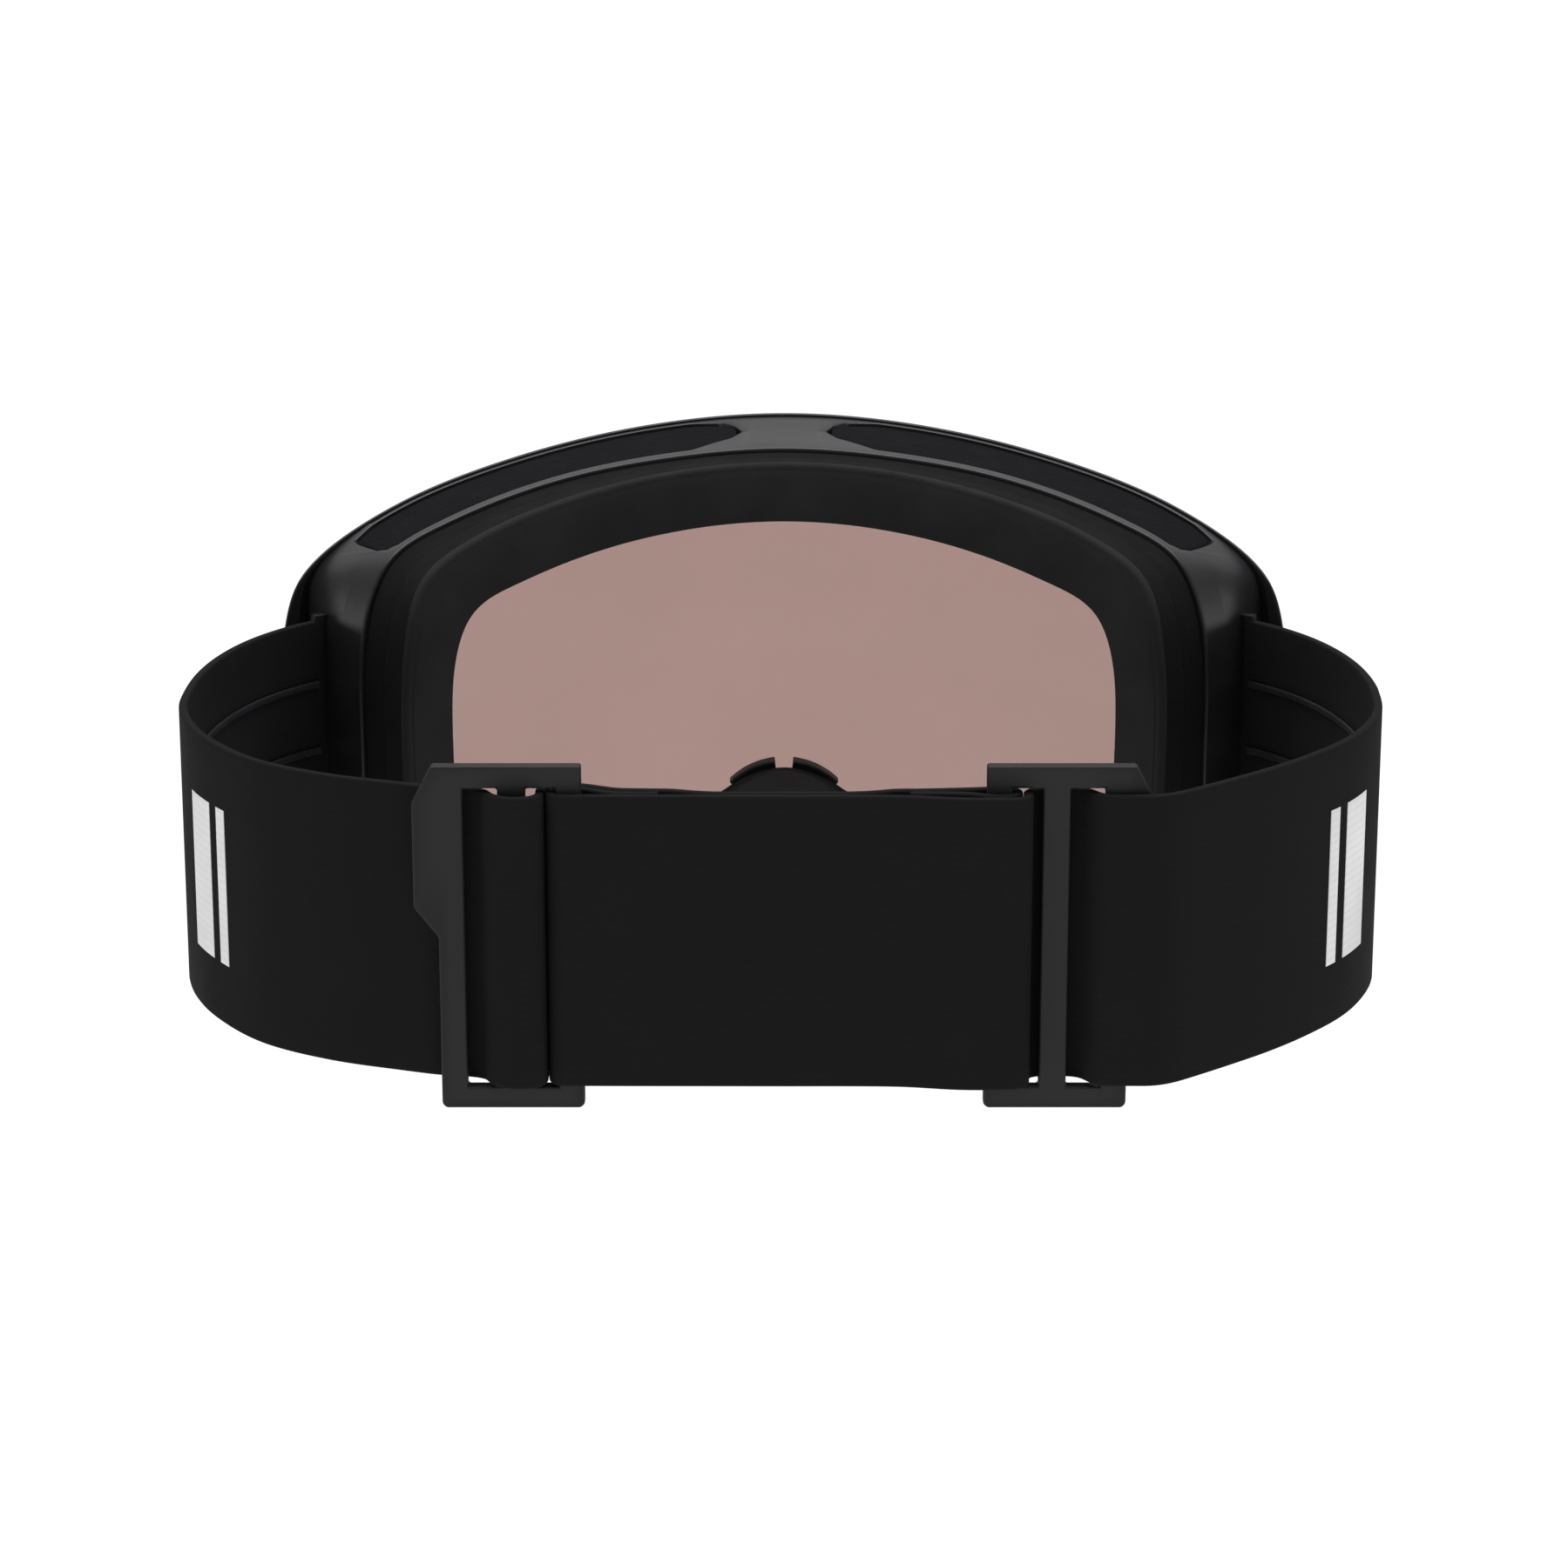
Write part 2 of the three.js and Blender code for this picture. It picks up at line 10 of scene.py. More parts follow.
import bmesh
import bpy
import numpy as np
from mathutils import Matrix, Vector


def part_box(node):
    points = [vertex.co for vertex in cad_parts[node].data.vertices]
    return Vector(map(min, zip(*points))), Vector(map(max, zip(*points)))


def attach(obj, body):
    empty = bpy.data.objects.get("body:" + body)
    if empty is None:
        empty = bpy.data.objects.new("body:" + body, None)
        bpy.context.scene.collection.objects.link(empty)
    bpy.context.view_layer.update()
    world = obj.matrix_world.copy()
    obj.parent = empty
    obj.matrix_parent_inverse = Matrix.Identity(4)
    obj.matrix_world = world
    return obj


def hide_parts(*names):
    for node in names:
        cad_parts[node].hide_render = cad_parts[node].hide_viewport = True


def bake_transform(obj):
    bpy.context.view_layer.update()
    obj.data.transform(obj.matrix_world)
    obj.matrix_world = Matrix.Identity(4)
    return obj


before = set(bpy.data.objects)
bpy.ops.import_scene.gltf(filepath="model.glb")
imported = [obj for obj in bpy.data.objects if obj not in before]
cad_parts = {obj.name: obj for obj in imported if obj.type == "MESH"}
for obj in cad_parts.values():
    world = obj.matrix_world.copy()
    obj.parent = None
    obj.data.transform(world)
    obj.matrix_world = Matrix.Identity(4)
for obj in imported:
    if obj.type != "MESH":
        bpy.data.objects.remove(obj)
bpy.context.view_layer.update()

# ------------ driving dimensions, millimetres

FLOOR_Z = -49.1  # plane that the frame's cheeks stand on
LENS_RADIUS = 110
LENS_FRONT_Y = 48
BEAD_Y = 14  # the frame's rear edge at its middle
FACE_RADIUS = 85  # curve of the foam that lies on the face
FACE_Y = 2

FRAME_FRONT_DEPTH = 4.4  # from the lens's front face back to the frame's front face
LIP_THICK = 1.4
FLANGE_THICK = 1.9
WALL_THICK = 2.3
LIP_ROUND = 1.3  # of the lip's outer rear edge, at most
GROOVE_DEPTH = 0.9  # the groove in the lip's rear face, beside the wall
GROOVE_LIP = (0.6, 2.6)  # the groove deepens where the lip's width grows from one to the other
GROOVE_SHARES = (0.03, 0.34, 0.37)  # its floor's two edges and its outer edge, across the lip
LENS_MARGIN = 1.9  # from the frame's front edge in to the lens's edge
OUTER_LENS_THICK = 1.2
INNER_LENS_THICK = 0.8
GAP = 0.3
LENS_BACK = OUTER_LENS_THICK + GAP
RIM_THICK = 2.4
FLANGE_SET_BACK = 2  # from the eye opening in the foam out to the edge of the frame's flange
FOAM_SHOWN_BACK = 0.8  # from the frame's rear edge in to the foam
FLEECE_CROWN = 0.45
MAGNET_RADIUS = 2.1
MAGNET_THICK = 1.2
MAGNET_PROUD = 0.12  # how far the frame's magnets stand out of it
DISC_BEVEL = 0.22

# Places round an outline are in points of it, from the middle of the top; shares run from 0 to 1.
MAGNET_POINTS = (1.5, 5, 9)
MAGNET_SHARE = 0.46  # from the lens's edge to the frame's aperture
RIM_SHARE = 0.76
INNER_LENS_SHARE = 0.8
SEAL_SHARE = 0.97
RIM_INSET = 0.3
LENS_EDGE_EASE = 0.25  # the lens's edges are eased by about this much, over so much of its face
LENS_EDGE_REACH = 1.2
CLIP_POINT = 6
CLIP_SHARE = 0.7
NOSE_LIP = {
    "centre": -19.65, "radius": 13.4, "depth": 5, "rear": 14.3, "front": 17.5, "from": 7, "to": 45,
}

STRAP_WIDTH = 45
STRAP_THICK = 1.4
BUCKLE_Y = -104.3
BUCKLE_THICK = 2.3
BAR_LEVEL = BUCKLE_THICK / 2 + GAP + STRAP_THICK / 2
OVER = BUCKLE_Y - BAR_LEVEL  # strap level behind a buckle's bars, away from the head
UNDER = BUCKLE_Y + BAR_LEVEL  # strap level between a buckle's bars and the head
LAYER_STEP = STRAP_THICK + GAP
SLOT = 35.8  # the middle of the slot beside a buckle's inner bar
BUCKLE_BEVEL = 0.4

GRIP_SPACING = 11.6
GRIP_REACH = (1.5, 114)  # where the grip beads start and end along the strap
GRIP_THICK = 0.62
GRIP_WIDTH = 1.15
GRIP_PROUD = 0.22  # from the strap's face to the bead's middle
PRINT_HEIGHT = 25
PRINT_THICK = 0.12
PRINT_PROUD = 0.03
PRINT_BARS = ((74, 82), (84.5, 87.3))  # each bar's start and end along the strap

STITCH_RADIUS = 0.26
STITCH_LENGTH = 1.5
STITCH_RISE = 0.35  # of its radius, from the cloth up to the thread's middle
STITCH_FLATNESS = 0.7  # its height over its width
STITCH_HEIGHTS = np.arange(-STRAP_WIDTH / 2 + 2.5, STRAP_WIDTH / 2 - 2, 2.4)
CLIP_STITCHES = (6, 9)  # along the strap
LOOP_STITCHES = (20.2, 23.6)  # from the middle of the back

# The bends, in plan, between the fabric that lies beside the frame and the fabric at its buckle.
SIDE_BEND = ((90, -84), (57, -105))
MIDDLE_BEND = ((1, OVER), (26, OVER))

SIDE_SIGNS = {"right": 1, "left": -1}

# Half outlines seen from behind, (x, z) from the middle of the top, down the wearer's right side, to
# the middle of the nose arch, as in the CAD.
FRONT_HALF = [
    (0, 49.7), (24, 48.1), (48, 43.8), (68, 37.8), (81.6, 29.7), (85, 21), (85.6, 1),
    (84.9, -18), (77, -35.5), (58.5, -46.8), (38, -49.4), (24, -44.2), (13, -32.2), (0, -27.2),
]
WALL_HALF = [
    (0, 49.3), (23.9, 47.7), (47.8, 43.4), (67.7, 37.4), (80.2, 29.3), (81.4, 20), (81.3, 1),
    (80.6, -18), (75.6, -34.6), (58, -46.3), (37.8, -49), (23.5, -43.8), (12.6, -31.8), (0, -26.8),
]
BEAD_HALF = [
    (0, 49.5), (20, 48.2), (38.5, 45.4), (55.5, 40.4), (65.6, 35.4), (70.2, 24.5), (71, 1),
    (70.2, -20), (64, -36), (50, -47), (34, -50.2), (21, -43), (12, -27), (0, -19),
]
APERTURE_HALF = [
    (0, 38.5), (21, 37.4), (42, 34.4), (59, 29.5), (70, 23.5), (74.8, 14), (75.6, 1),
    (74, -12), (67, -25), (53, -34), (40, -36.5), (29, -32.2), (15.5, -22.8), (0, -16),
]
EYE_HALF = [
    (0, 39.1), (14, 38.3), (29, 35.8), (42.6, 31.8), (51, 28), (54.3, 20.5), (55, 4),
    (53.9, -11), (49.4, -23), (41, -31), (31, -33), (22, -27), (12.1, -11), (0, -4.5),
]
HOLE_HALF = [  # the eye opening where the foam meets the frame
    (0, 39.3), (14, 38.6), (29.5, 36.4), (43.6, 33.2), (53, 29.6), (56.6, 21), (57.5, 4),
    (56.3, -11), (51, -23.3), (42, -32), (31.2, -34.3), (22, -28.5), (12.6, -12.6), (0, -7),
]
FACE_HALF = [
    (0, 49.2), (18, 48.1), (36, 44.7), (50, 40.2), (58.6, 34.6), (61.5, 22.5), (62, 2),
    (60.6, -15), (56, -30), (45, -41), (32, -44), (20.5, -37.5), (12.5, -21), (0, -13),
]

# ------------ places and small helpers

buckle_low, buckle_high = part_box("buckle_right")
strap_low, strap_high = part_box("strap_side_right")
ORIGIN = np.array([
    0,
    (buckle_low.y + buckle_high.y) / 2 * 1000 - BUCKLE_Y,
    (strap_low.z + strap_high.z) / 2 * 1000,
])
MM = 0.001  # metres


def row(points):
    """Design millimetres as the frame's metres."""
    return (np.asarray(points, float) + ORIGIN) * MM


def unit(vectors):
    return vectors / np.maximum(np.linalg.norm(vectors, axis=-1, keepdims=True), 1e-9)


def lerp(a, b, share):
    return a + (b - a) * share


def smoothstep(low, high, value):
    share = np.clip((np.asarray(value, float) - low) / (high - low), 0, 1)
    return share * share * (3 - 2 * share)


# ------------ outlines

PER_POINT = 24  # stations from one point of an outline to the next
OUTLINE_PASSES = 40
POINTS = 2 * (len(FRONT_HALF) - 1)
STATIONS = PER_POINT * POINTS


def closed_curve(points):
    """Centripetal Catmull-Rom curve, round and closed, in stations."""
    p0, p1, p2, p3 = (np.roll(points, shift, axis=0) for shift in (1, 0, -1, -2))

    def span(a, b):
        return np.sqrt(np.linalg.norm(a - b, axis=1, keepdims=True))

    d0, d1, d2 = span(p0, p1), span(p1, p2), span(p2, p3)
    out_of = ((p1 - p0) / d0 - (p2 - p0) / (d0 + d1) + (p2 - p1) / d1) * d1
    into = ((p2 - p1) / d1 - (p3 - p1) / (d1 + d2) + (p3 - p2) / d2) * d1
    t = np.arange(PER_POINT)[None, :, None] / PER_POINT
    a, b, m, n = (v[:, None, :] for v in (p1, p2, out_of, into))
    curve = a + m * t + (3 * (b - a) - 2 * m - n) * t**2 + (2 * (a - b) + m + n) * t**3
    return curve.reshape(-1, points.shape[1])


def smoothed(line, passes):
    """A closed line with its curvature evened out."""
    for _ in range(passes):
        line = (np.roll(line, 1, axis=0) + 2 * line + np.roll(line, -1, axis=0)) / 4
    return line


def outline(half):
    """The whole outline as (x, z) stations, from the middle of the top round by the right."""
    left = [(-x, z) for x, z in half[-2:0:-1]]
    return smoothed(closed_curve(np.array(list(half) + left, float)), OUTLINE_PASSES)


def inset(line, distance):
    """The outline moved towards its inside by a distance, which may differ along it."""
    along = unit(np.roll(line, -1, axis=0) - np.roll(line, 1, axis=0))
    inward = np.stack([along[:, 1], -along[:, 0]], axis=1)
    return line + inward * np.broadcast_to(distance, len(line))[:, None]


def bow(x, radius):
    return radius - np.sqrt(radius**2 - x**2)


def lens_y(back=0.0):
    return lambda x: LENS_FRONT_Y - back - bow(x, LENS_RADIUS)


def bead_y(ahead=0.0):
    return lambda x: BEAD_Y + ahead - bow(x, LENS_RADIUS)


def face_y(ahead=0.0):
    return lambda x: FACE_Y + ahead - bow(x, FACE_RADIUS)


def laid_on(line, depth):
    """The outline laid on a curved face whose depth is a function of x."""
    return np.stack([line[:, 0], depth(line[:, 0]), line[:, 1]], axis=1)


FRONT, WALL, BEAD, APERTURE, EYE, HOLE, FACE = (
    outline(half)
    for half in (FRONT_HALF, WALL_HALF, BEAD_HALF, APERTURE_HALF, EYE_HALF, HOLE_HALF, FACE_HALF)
)
LENS = inset(FRONT, LENS_MARGIN)
AROUND = np.arange(STATIONS) / PER_POINT  # each station's place, in points of the outline
HALF_AROUND = np.minimum(AROUND, POINTS - AROUND)  # the same on both sides

# ------------ meshes

SHARP_DEGREES = 55
SUPPORT = 0.12  # a line this far beyond each rounded corner keeps the flat beside it flat
ROUND_STEPS = 5
CORNER_LINES = ROUND_STEPS + 2  # how many lines a rounded corner takes
STRAP_PLACE = "strap_place"


def shown(name, mesh, material):
    """An object of the scene with a mesh and its material."""
    mesh.materials.append(material)
    obj = bpy.data.objects.new(name, mesh)
    bpy.context.scene.collection.objects.link(obj)
    return obj


def piece(name, vertices, faces, material):
    """A shown mesh, closed, with its faces pointing out and smooth shading."""
    mesh = bpy.data.meshes.new(name)
    mesh.from_pydata(row(vertices).tolist(), [], faces)
    made = bmesh.new()
    made.from_mesh(mesh)
    bmesh.ops.recalc_face_normals(made, faces=made.faces)
    made.to_mesh(mesh)
    made.free()
    mesh.polygons.foreach_set("use_smooth", [True] * len(mesh.polygons))
    mesh.set_sharp_from_angle(angle=math.radians(SHARP_DEGREES))
    return shown(name, mesh, material)


def grid_faces(rows, columns, wrap_rows, wrap_columns, skip=None):
    """Quads of a grid whose vertices are numbered row by row."""
    faces = []
    for i in range(rows if wrap_rows else rows - 1):
        for j in range(columns if wrap_columns else columns - 1):
            if skip is None or not skip(i, j):
                below, right = (i + 1) % rows, (j + 1) % columns
                faces.append((
                    i * columns + j, i * columns + right, below * columns + right, below * columns + j
                ))
    return faces


def rounded(corners, radii):
    """The lines of a closed cross-section, each corner turned through a curve of about its radius."""
    lines = []
    count = len(corners)
    for k, radius in enumerate(radii):
        corner = corners[k]
        if np.isscalar(radius) and radius == 0:
            lines.append(corner)
            continue
        radius = np.broadcast_to(radius, len(corner))[:, None]
        beyond = radius + np.minimum(SUPPORT, radius * 0.3)
        before, after = corners[k - 1] - corner, corners[(k + 1) % count] - corner
        start, end = unit(before) * radius, unit(after) * radius
        lines.append(corner + unit(before) * beyond)
        for t in np.linspace(0, 1, ROUND_STEPS):
            lines.append(corner + start * (1 - t) ** 2 + end * t**2)
        lines.append(corner + unit(after) * beyond)
    return lines


def ring_piece(name, lines, material):
    """A closed ring whose cross-section's lines each run all the way round."""
    grid = np.array(lines)
    faces = grid_faces(len(lines), len(lines[0]), True, True)
    return piece(name, grid.reshape(-1, 3), faces, material)


def strip_piece(name, lines, material):
    """A closed length of something: the lines of its cross-section, and a face at each end."""
    grid = np.array(lines)
    rows, columns = grid.shape[:2]
    faces = grid_faces(rows, columns, True, False)
    for j in (0, columns - 1):
        faces.append(tuple(i * columns + j for i in range(rows)))
    return piece(name, grid.reshape(-1, 3), faces, material)


def set_places(obj, values):
    """Each vertex's own measures on the strap, for its weave to read."""
    layer = obj.data.attributes.new(STRAP_PLACE, "FLOAT_VECTOR", "POINT")
    layer.data.foreach_set("vector", np.asarray(values, np.float32).ravel())


def bevelled_copy(node, name, width, material):
    """A CAD node's shape with its edges rounded."""
    made = bmesh.new()
    made.from_mesh(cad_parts[node].data)
    bmesh.ops.remove_doubles(made, verts=made.verts, dist=1e-6)
    bmesh.ops.dissolve_limit(
        made, angle_limit=math.radians(4), verts=made.verts, edges=made.edges
    )
    sharp = [e for e in made.edges if len(e.link_faces) == 2 and e.calc_face_angle() > 0.5]
    bmesh.ops.bevel(
        made, geom=sharp, offset=width * MM, segments=3, profile=0.5, affect="EDGES",
        clamp_overlap=True,
    )
    mesh = bpy.data.meshes.new(name)
    made.to_mesh(mesh)
    made.free()
    mesh.polygons.foreach_set("use_smooth", [True] * len(mesh.polygons))
    obj = shown(name, mesh, material)
    weighted = obj.modifiers.new("even_shading", "WEIGHTED_NORMAL")
    weighted.keep_sharp = True
    return obj


def stands_for(obj, body, slot, *nodes):
    """The piece rides on a body and stands for CAD nodes, which it hides; the slot is not used."""
    if nodes:
        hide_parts(*nodes)
    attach(obj, body)


# ------------ materials


def colour4(colour):
    return (*(float(c) for c in colour), 1)


MIDDLE_RANGE = (0.3, 0.7)  # of a noise, whose values seldom pass it
WORN_EDGES = (0.54, 0.62)  # pointiness where the wear starts and where it is full
ROW_PITCH, RIB_PITCH = 0.62, 1.24  # of the webbing's weave, millimetres
LENS_IOR = 1.2
LENS_GLOSS = 0.15  # share of the plain reflection that the lens keeps
SHEET_TINT = (0.597, 0.488, 0.466)  # of one sheet, seen through both of its faces


class Surface:
    """A procedural material: colour that varies, uneven roughness and a fine grain."""

    def __init__(self, name, colour, roughness, specular=0.5, spread=0.12, patch=90.0):
        self.material = bpy.data.materials.new(name)
        self.material.use_nodes = True
        self.tree = self.material.node_tree
        self.shader = self.tree.nodes["Principled BSDF"]
        self.shader.inputs["Specular IOR Level"].default_value = specular
        self.place = self.node("ShaderNodeTexCoord").outputs["Object"]
        patches = self.noise(patch, 3)
        colour = np.asarray(colour, float)
        self.colour = self.ramp(patches, colour * (1 - spread), colour * (1 + spread))
        self.bump = None
        uneven = self.scaled(patches, roughness * 0.88, roughness * 1.12)
        self.link(self.colour, self.shader.inputs["Base Color"])
        self.link(uneven, self.shader.inputs["Roughness"])

    def node(self, kind, **values):
        made = self.tree.nodes.new(kind)
        for key, value in values.items():
            setattr(made, key, value)
        return made

    def link(self, source, target):
        self.tree.links.new(source, target)

    def noise(self, scale, detail, rough=0.5):
        made = self.node("ShaderNodeTexNoise")
        made.inputs["Scale"].default_value = scale
        made.inputs["Detail"].default_value = detail
        made.inputs["Roughness"].default_value = rough
        self.link(self.place, made.inputs["Vector"])
        return made.outputs["Fac"]

    def ramp(self, source, low, high):
        """A colour from low to high as the source grows through its middle range."""
        made = self.node("ShaderNodeValToRGB")
        first, last = made.color_ramp.elements
        first.position, last.position = MIDDLE_RANGE
        first.color, last.color = colour4(low), colour4(high)
        self.link(source, made.inputs["Fac"])
        return made.outputs["Color"]

    def scaled(self, source, low, high, start=MIDDLE_RANGE[0], end=MIDDLE_RANGE[1]):
        """A number from low to high as the source grows from start to end."""
        made = self.node("ShaderNodeMapRange")
        made.inputs["From Min"].default_value = start
        made.inputs["From Max"].default_value = end
        made.inputs["To Min"].default_value = low
        made.inputs["To Max"].default_value = high
        self.link(source, made.inputs["Value"])
        return made.outputs["Result"]

    def maths(self, operation, a, b):
        """One step of arithmetic on sockets or plain numbers."""
        made = self.node("ShaderNodeMath", operation=operation)
        for socket, value in zip(made.inputs, (a, b)):
            if isinstance(value, (int, float)):
                socket.default_value = value
            else:
                self.link(value, socket)
        return made.outputs["Value"]

    def grain(self, height, depth, strength=1.0):
        """Adds relief: a height from 0 to 1 that stands for a depth in millimetres."""
        made = self.node("ShaderNodeBump")
        made.inputs["Strength"].default_value = strength
        made.inputs["Distance"].default_value = depth * MM
        self.link(height, made.inputs["Height"])
        if self.bump is not None:
            self.link(self.bump, made.inputs["Normal"])
        self.bump = made.outputs["Normal"]
        self.link(self.bump, self.shader.inputs["Normal"])
        return self

    def worn(self, colour):
        """Edges rubbed half way towards a paler colour."""
        edges = self.node("ShaderNodeNewGeometry").outputs["Pointiness"]
        self.blend_colour(self.scaled(edges, 0, 0.5, *WORN_EDGES), colour)
        return self

    def blend_colour(self, share, colour):
        """A share of another colour, from 0 to 1, over the colour so far."""
        mix = self.node("ShaderNodeMix", data_type="RGBA")
        self.link(share, mix.inputs[0])
        self.link(self.colour, mix.inputs[6])
        mix.inputs[7].default_value = colour4(colour)
        self.colour = mix.outputs[2]
        self.link(self.colour, self.shader.inputs["Base Color"])

    def put(self, **values):
        """Constants on the shader's own sockets, with _ for each space in a name."""
        for key, value in values.items():
            self.shader.inputs[key.replace("_", " ")].default_value = value
        return self


def moulded(name, colour, roughness, specular=0.5):
    """Injection-moulded plastic with a fine spark texture and rubbed edges."""
    made = Surface(name, colour, roughness, specular=specular)
    made.grain(made.noise(5200, 2), 0.012)
    made.grain(made.noise(240, 2), 0.02)
    return made.worn(np.asarray(colour) * 1.6 + 0.004)


def open_foam(name, colour, cell, depth, specular=0.1):
    """Foam whose cut cells, of a size in millimetres, show as small pits, darkened with painted shade.
    """
    made = Surface(name, colour, 0.95, specular=specular, spread=0.1, patch=160)
    cells = made.node("ShaderNodeTexVoronoi")
    cells.inputs["Scale"].default_value = 1000 / cell
    made.link(made.place, cells.inputs["Vector"])
    pits = cells.outputs["Distance"]
    # Painted shade: the colour darkens towards 0.45 of itself near each cell's middle, in its pit.
    made.blend_colour(made.scaled(pits, 0.45, 0, 0.05, 0.4), np.asarray(colour) * 0.45)
    made.grain(pits, depth)
    made.grain(made.noise(420, 4), depth * 1.2)
    return made


def brushed_fleece(name, colour):
    """Short brushed pile over foam."""
    made = Surface(name, colour, 0.97, specular=0.06, spread=0.12, patch=120)
    made.grain(made.noise(3800, 4, rough=0.7), 0.09)
    made.grain(made.noise(320, 3), 0.12)
    return made


def woven(name, colour, roughness, specular, depth):
    """Elastic webbing: ribs along its length, crossed by finer rows, in the strap's own measures, with
    painted shade in the weave's hollows.
    """
    made = Surface(name, colour, roughness, specular=specular, spread=0.1, patch=60)
    lie = made.node("ShaderNodeAttribute", attribute_name=STRAP_PLACE).outputs["Vector"]
    split = made.node("ShaderNodeSeparateXYZ")
    made.link(lie, split.inputs["Vector"])
    along, up = split.outputs["X"], split.outputs["Y"]

    def waves(value, pitch):
        turned = made.maths("MULTIPLY", value, 2 * math.pi / pitch)
        return made.maths("SINE", turned, 0)

    rows, ribs = waves(along, ROW_PITCH), waves(up, RIB_PITCH)
    knit = made.maths("MULTIPLY", rows, ribs)
    height = made.scaled(made.maths("ADD", knit, made.maths("MULTIPLY", ribs, 0.5)), 0, 1, -1.5, 1.5)
    # Painted shade: where the weave's height is low, in its hollows, the colour darkens towards 0.65 of
    # itself.
    made.blend_colour(made.scaled(height, 0.4, 0, 0, 0.6), np.asarray(colour) * 0.65)
    made.grain(height, depth)
    made.grain(made.noise(2600, 3), 0.03)
    return made


def tinted(name, colour):
    """Clear moulded sheet with a tint, faintly uneven."""
    made = Surface(name, colour, 0.02, spread=0.01, patch=25)
    made.grain(made.noise(60, 2), 0.01, 0.3)
    gloss = colour4((LENS_GLOSS, LENS_GLOSS, LENS_GLOSS))
    return made.put(Transmission_Weight=1.0, IOR=LENS_IOR, Specular_Tint=gloss)


FRAME_PLASTIC = moulded("frame_plastic", (0.012, 0.012, 0.0138), 0.37)
RIM_PLASTIC = Surface("rim_plastic", (0.012, 0.012, 0.0138), 0.45, specular=0.3, spread=0.04)
RIM_PLASTIC.grain(RIM_PLASTIC.noise(5200, 2), 0.006)
CLIP_PLASTIC = moulded("clip_plastic", (0.004, 0.004, 0.0045), 0.5, specular=0.12)
BUCKLE_PLASTIC = moulded("buckle_plastic", (0.0145, 0.0145, 0.0151), 0.5, specular=0.22)
VENT_FOAM = open_foam("vent_foam", (0.0075, 0.0075, 0.0088), 0.8, 0.16, specular=0.05)
BASE_FOAM = open_foam("base_foam", (0.0064, 0.0064, 0.0066), 0.5, 0.05)
MIDDLE_FOAM = open_foam("middle_foam", (0.0078, 0.0078, 0.008), 0.5, 0.05)
FLEECE = brushed_fleece("fleece", (0.025, 0.025, 0.025))
SEAL_FOAM = open_foam("seal_foam", (0.01, 0.01, 0.01), 0.4, 0.06)
LENS_TINT = tinted("lens_tint", SHEET_TINT)
# The webbing and the strap's print both carry the weave's painted shade.
WEBBING = woven("webbing", (0.0138, 0.0138, 0.014), roughness=0.9, specular=0.05, depth=0.045)
THREAD = Surface("thread", (0.013, 0.013, 0.0135), 0.7, specular=0.1)
THREAD.grain(THREAD.noise(6000, 2), 0.04)
PRINT = woven("strap_print", (0.86, 0.86, 0.86), roughness=0.6, specular=0.3, depth=0.02)
SILICONE = Surface("silicone", (0.022, 0.022, 0.024), 0.35, specular=0.5)
SILICONE.grain(SILICONE.noise(900, 3), 0.02)
MAGNET_STEEL = Surface("magnet_steel", (0.5, 0.5, 0.52), 0.3)
MAGNET_STEEL.grain(MAGNET_STEEL.noise(1500, 3), 0.01)
MAGNET_STEEL.put(Metallic=1.0)

# ------------ frame

LIP_DEPTH = FRAME_FRONT_DEPTH + LIP_THICK
FLANGE_DEPTH = FRAME_FRONT_DEPTH + FLANGE_THICK
WALL_REAR = laid_on(BEAD, bead_y())
WALL_FRONT = laid_on(WALL, lens_y(LIP_DEPTH))
INSIDE_REAR = laid_on(inset(BEAD, WALL_THICK), bead_y())
INSIDE_FRONT = laid_on(inset(WALL, WALL_THICK), lens_y(LIP_DEPTH))

# Each vent's edges: share of the wall's depth, against the place round the half outline.
TOP_VENT = {
    "front": ((0.333, 0.56), (0.375, 0.74), (0.46, 0.875), (0.69, 0.965), (3.25, 0.955),
              (3.56, 0.86), (3.79, 0.34)),
    "rear": ((0.333, 0.53), (0.43, 0.35), (0.49, 0.32), (0.77, 0.115), (3.7, 0.11), (3.79, 0.18)),
}
BOTTOM_VENT = {
    "front": ((7.417, 0.5), (7.5, 0.72), (7.66, 0.8), (8.54, 0.8), (8.7, 0.72), (8.792, 0.5)),
    "rear": ((7.417, 0.46), (7.5, 0.27), (7.66, 0.2), (8.54, 0.2), (8.7, 0.27), (8.792, 0.46)),
}
VENTS = (TOP_VENT, BOTTOM_VENT)
VENT_EDGE_SHARE = 0.009  # the wall is eased over this share of its depth at a vent's edges
VENT_EDGE_SUNK = 0.14
VENT_CLEAR = (0.022, 0.01)  # between a vent's rear and front edges and its foam, as shares
VENT_FOAM_SUNK = 0.62  # from the wall's outside in to the foam's edges
VENT_FOAM_CROWN = 0.3
VENT_FOAM_BACK = 2.1  # from the wall's outside in to the foam's inner side


def vent_columns(vent):
    """Whether each station lies within the vent."""
    start, end = vent["front"][0][0], vent["front"][-1][0]
    return (HALF_AROUND >= start - 1e-6) & (HALF_AROUND <= end + 5e-3)


def vent_share(side):
    """The share at which a wall's line along the vents' edges runs, all the way round."""
    knots = [knot for vent in VENTS for knot in vent[side]]
    places, shares = zip(*knots)
    return np.interp(HALF_AROUND, places, shares)


VENT_FRONT, VENT_REAR = vent_share("front"), vent_share("rear")
VENTED = vent_columns(TOP_VENT) | vent_columns(BOTTOM_VENT)


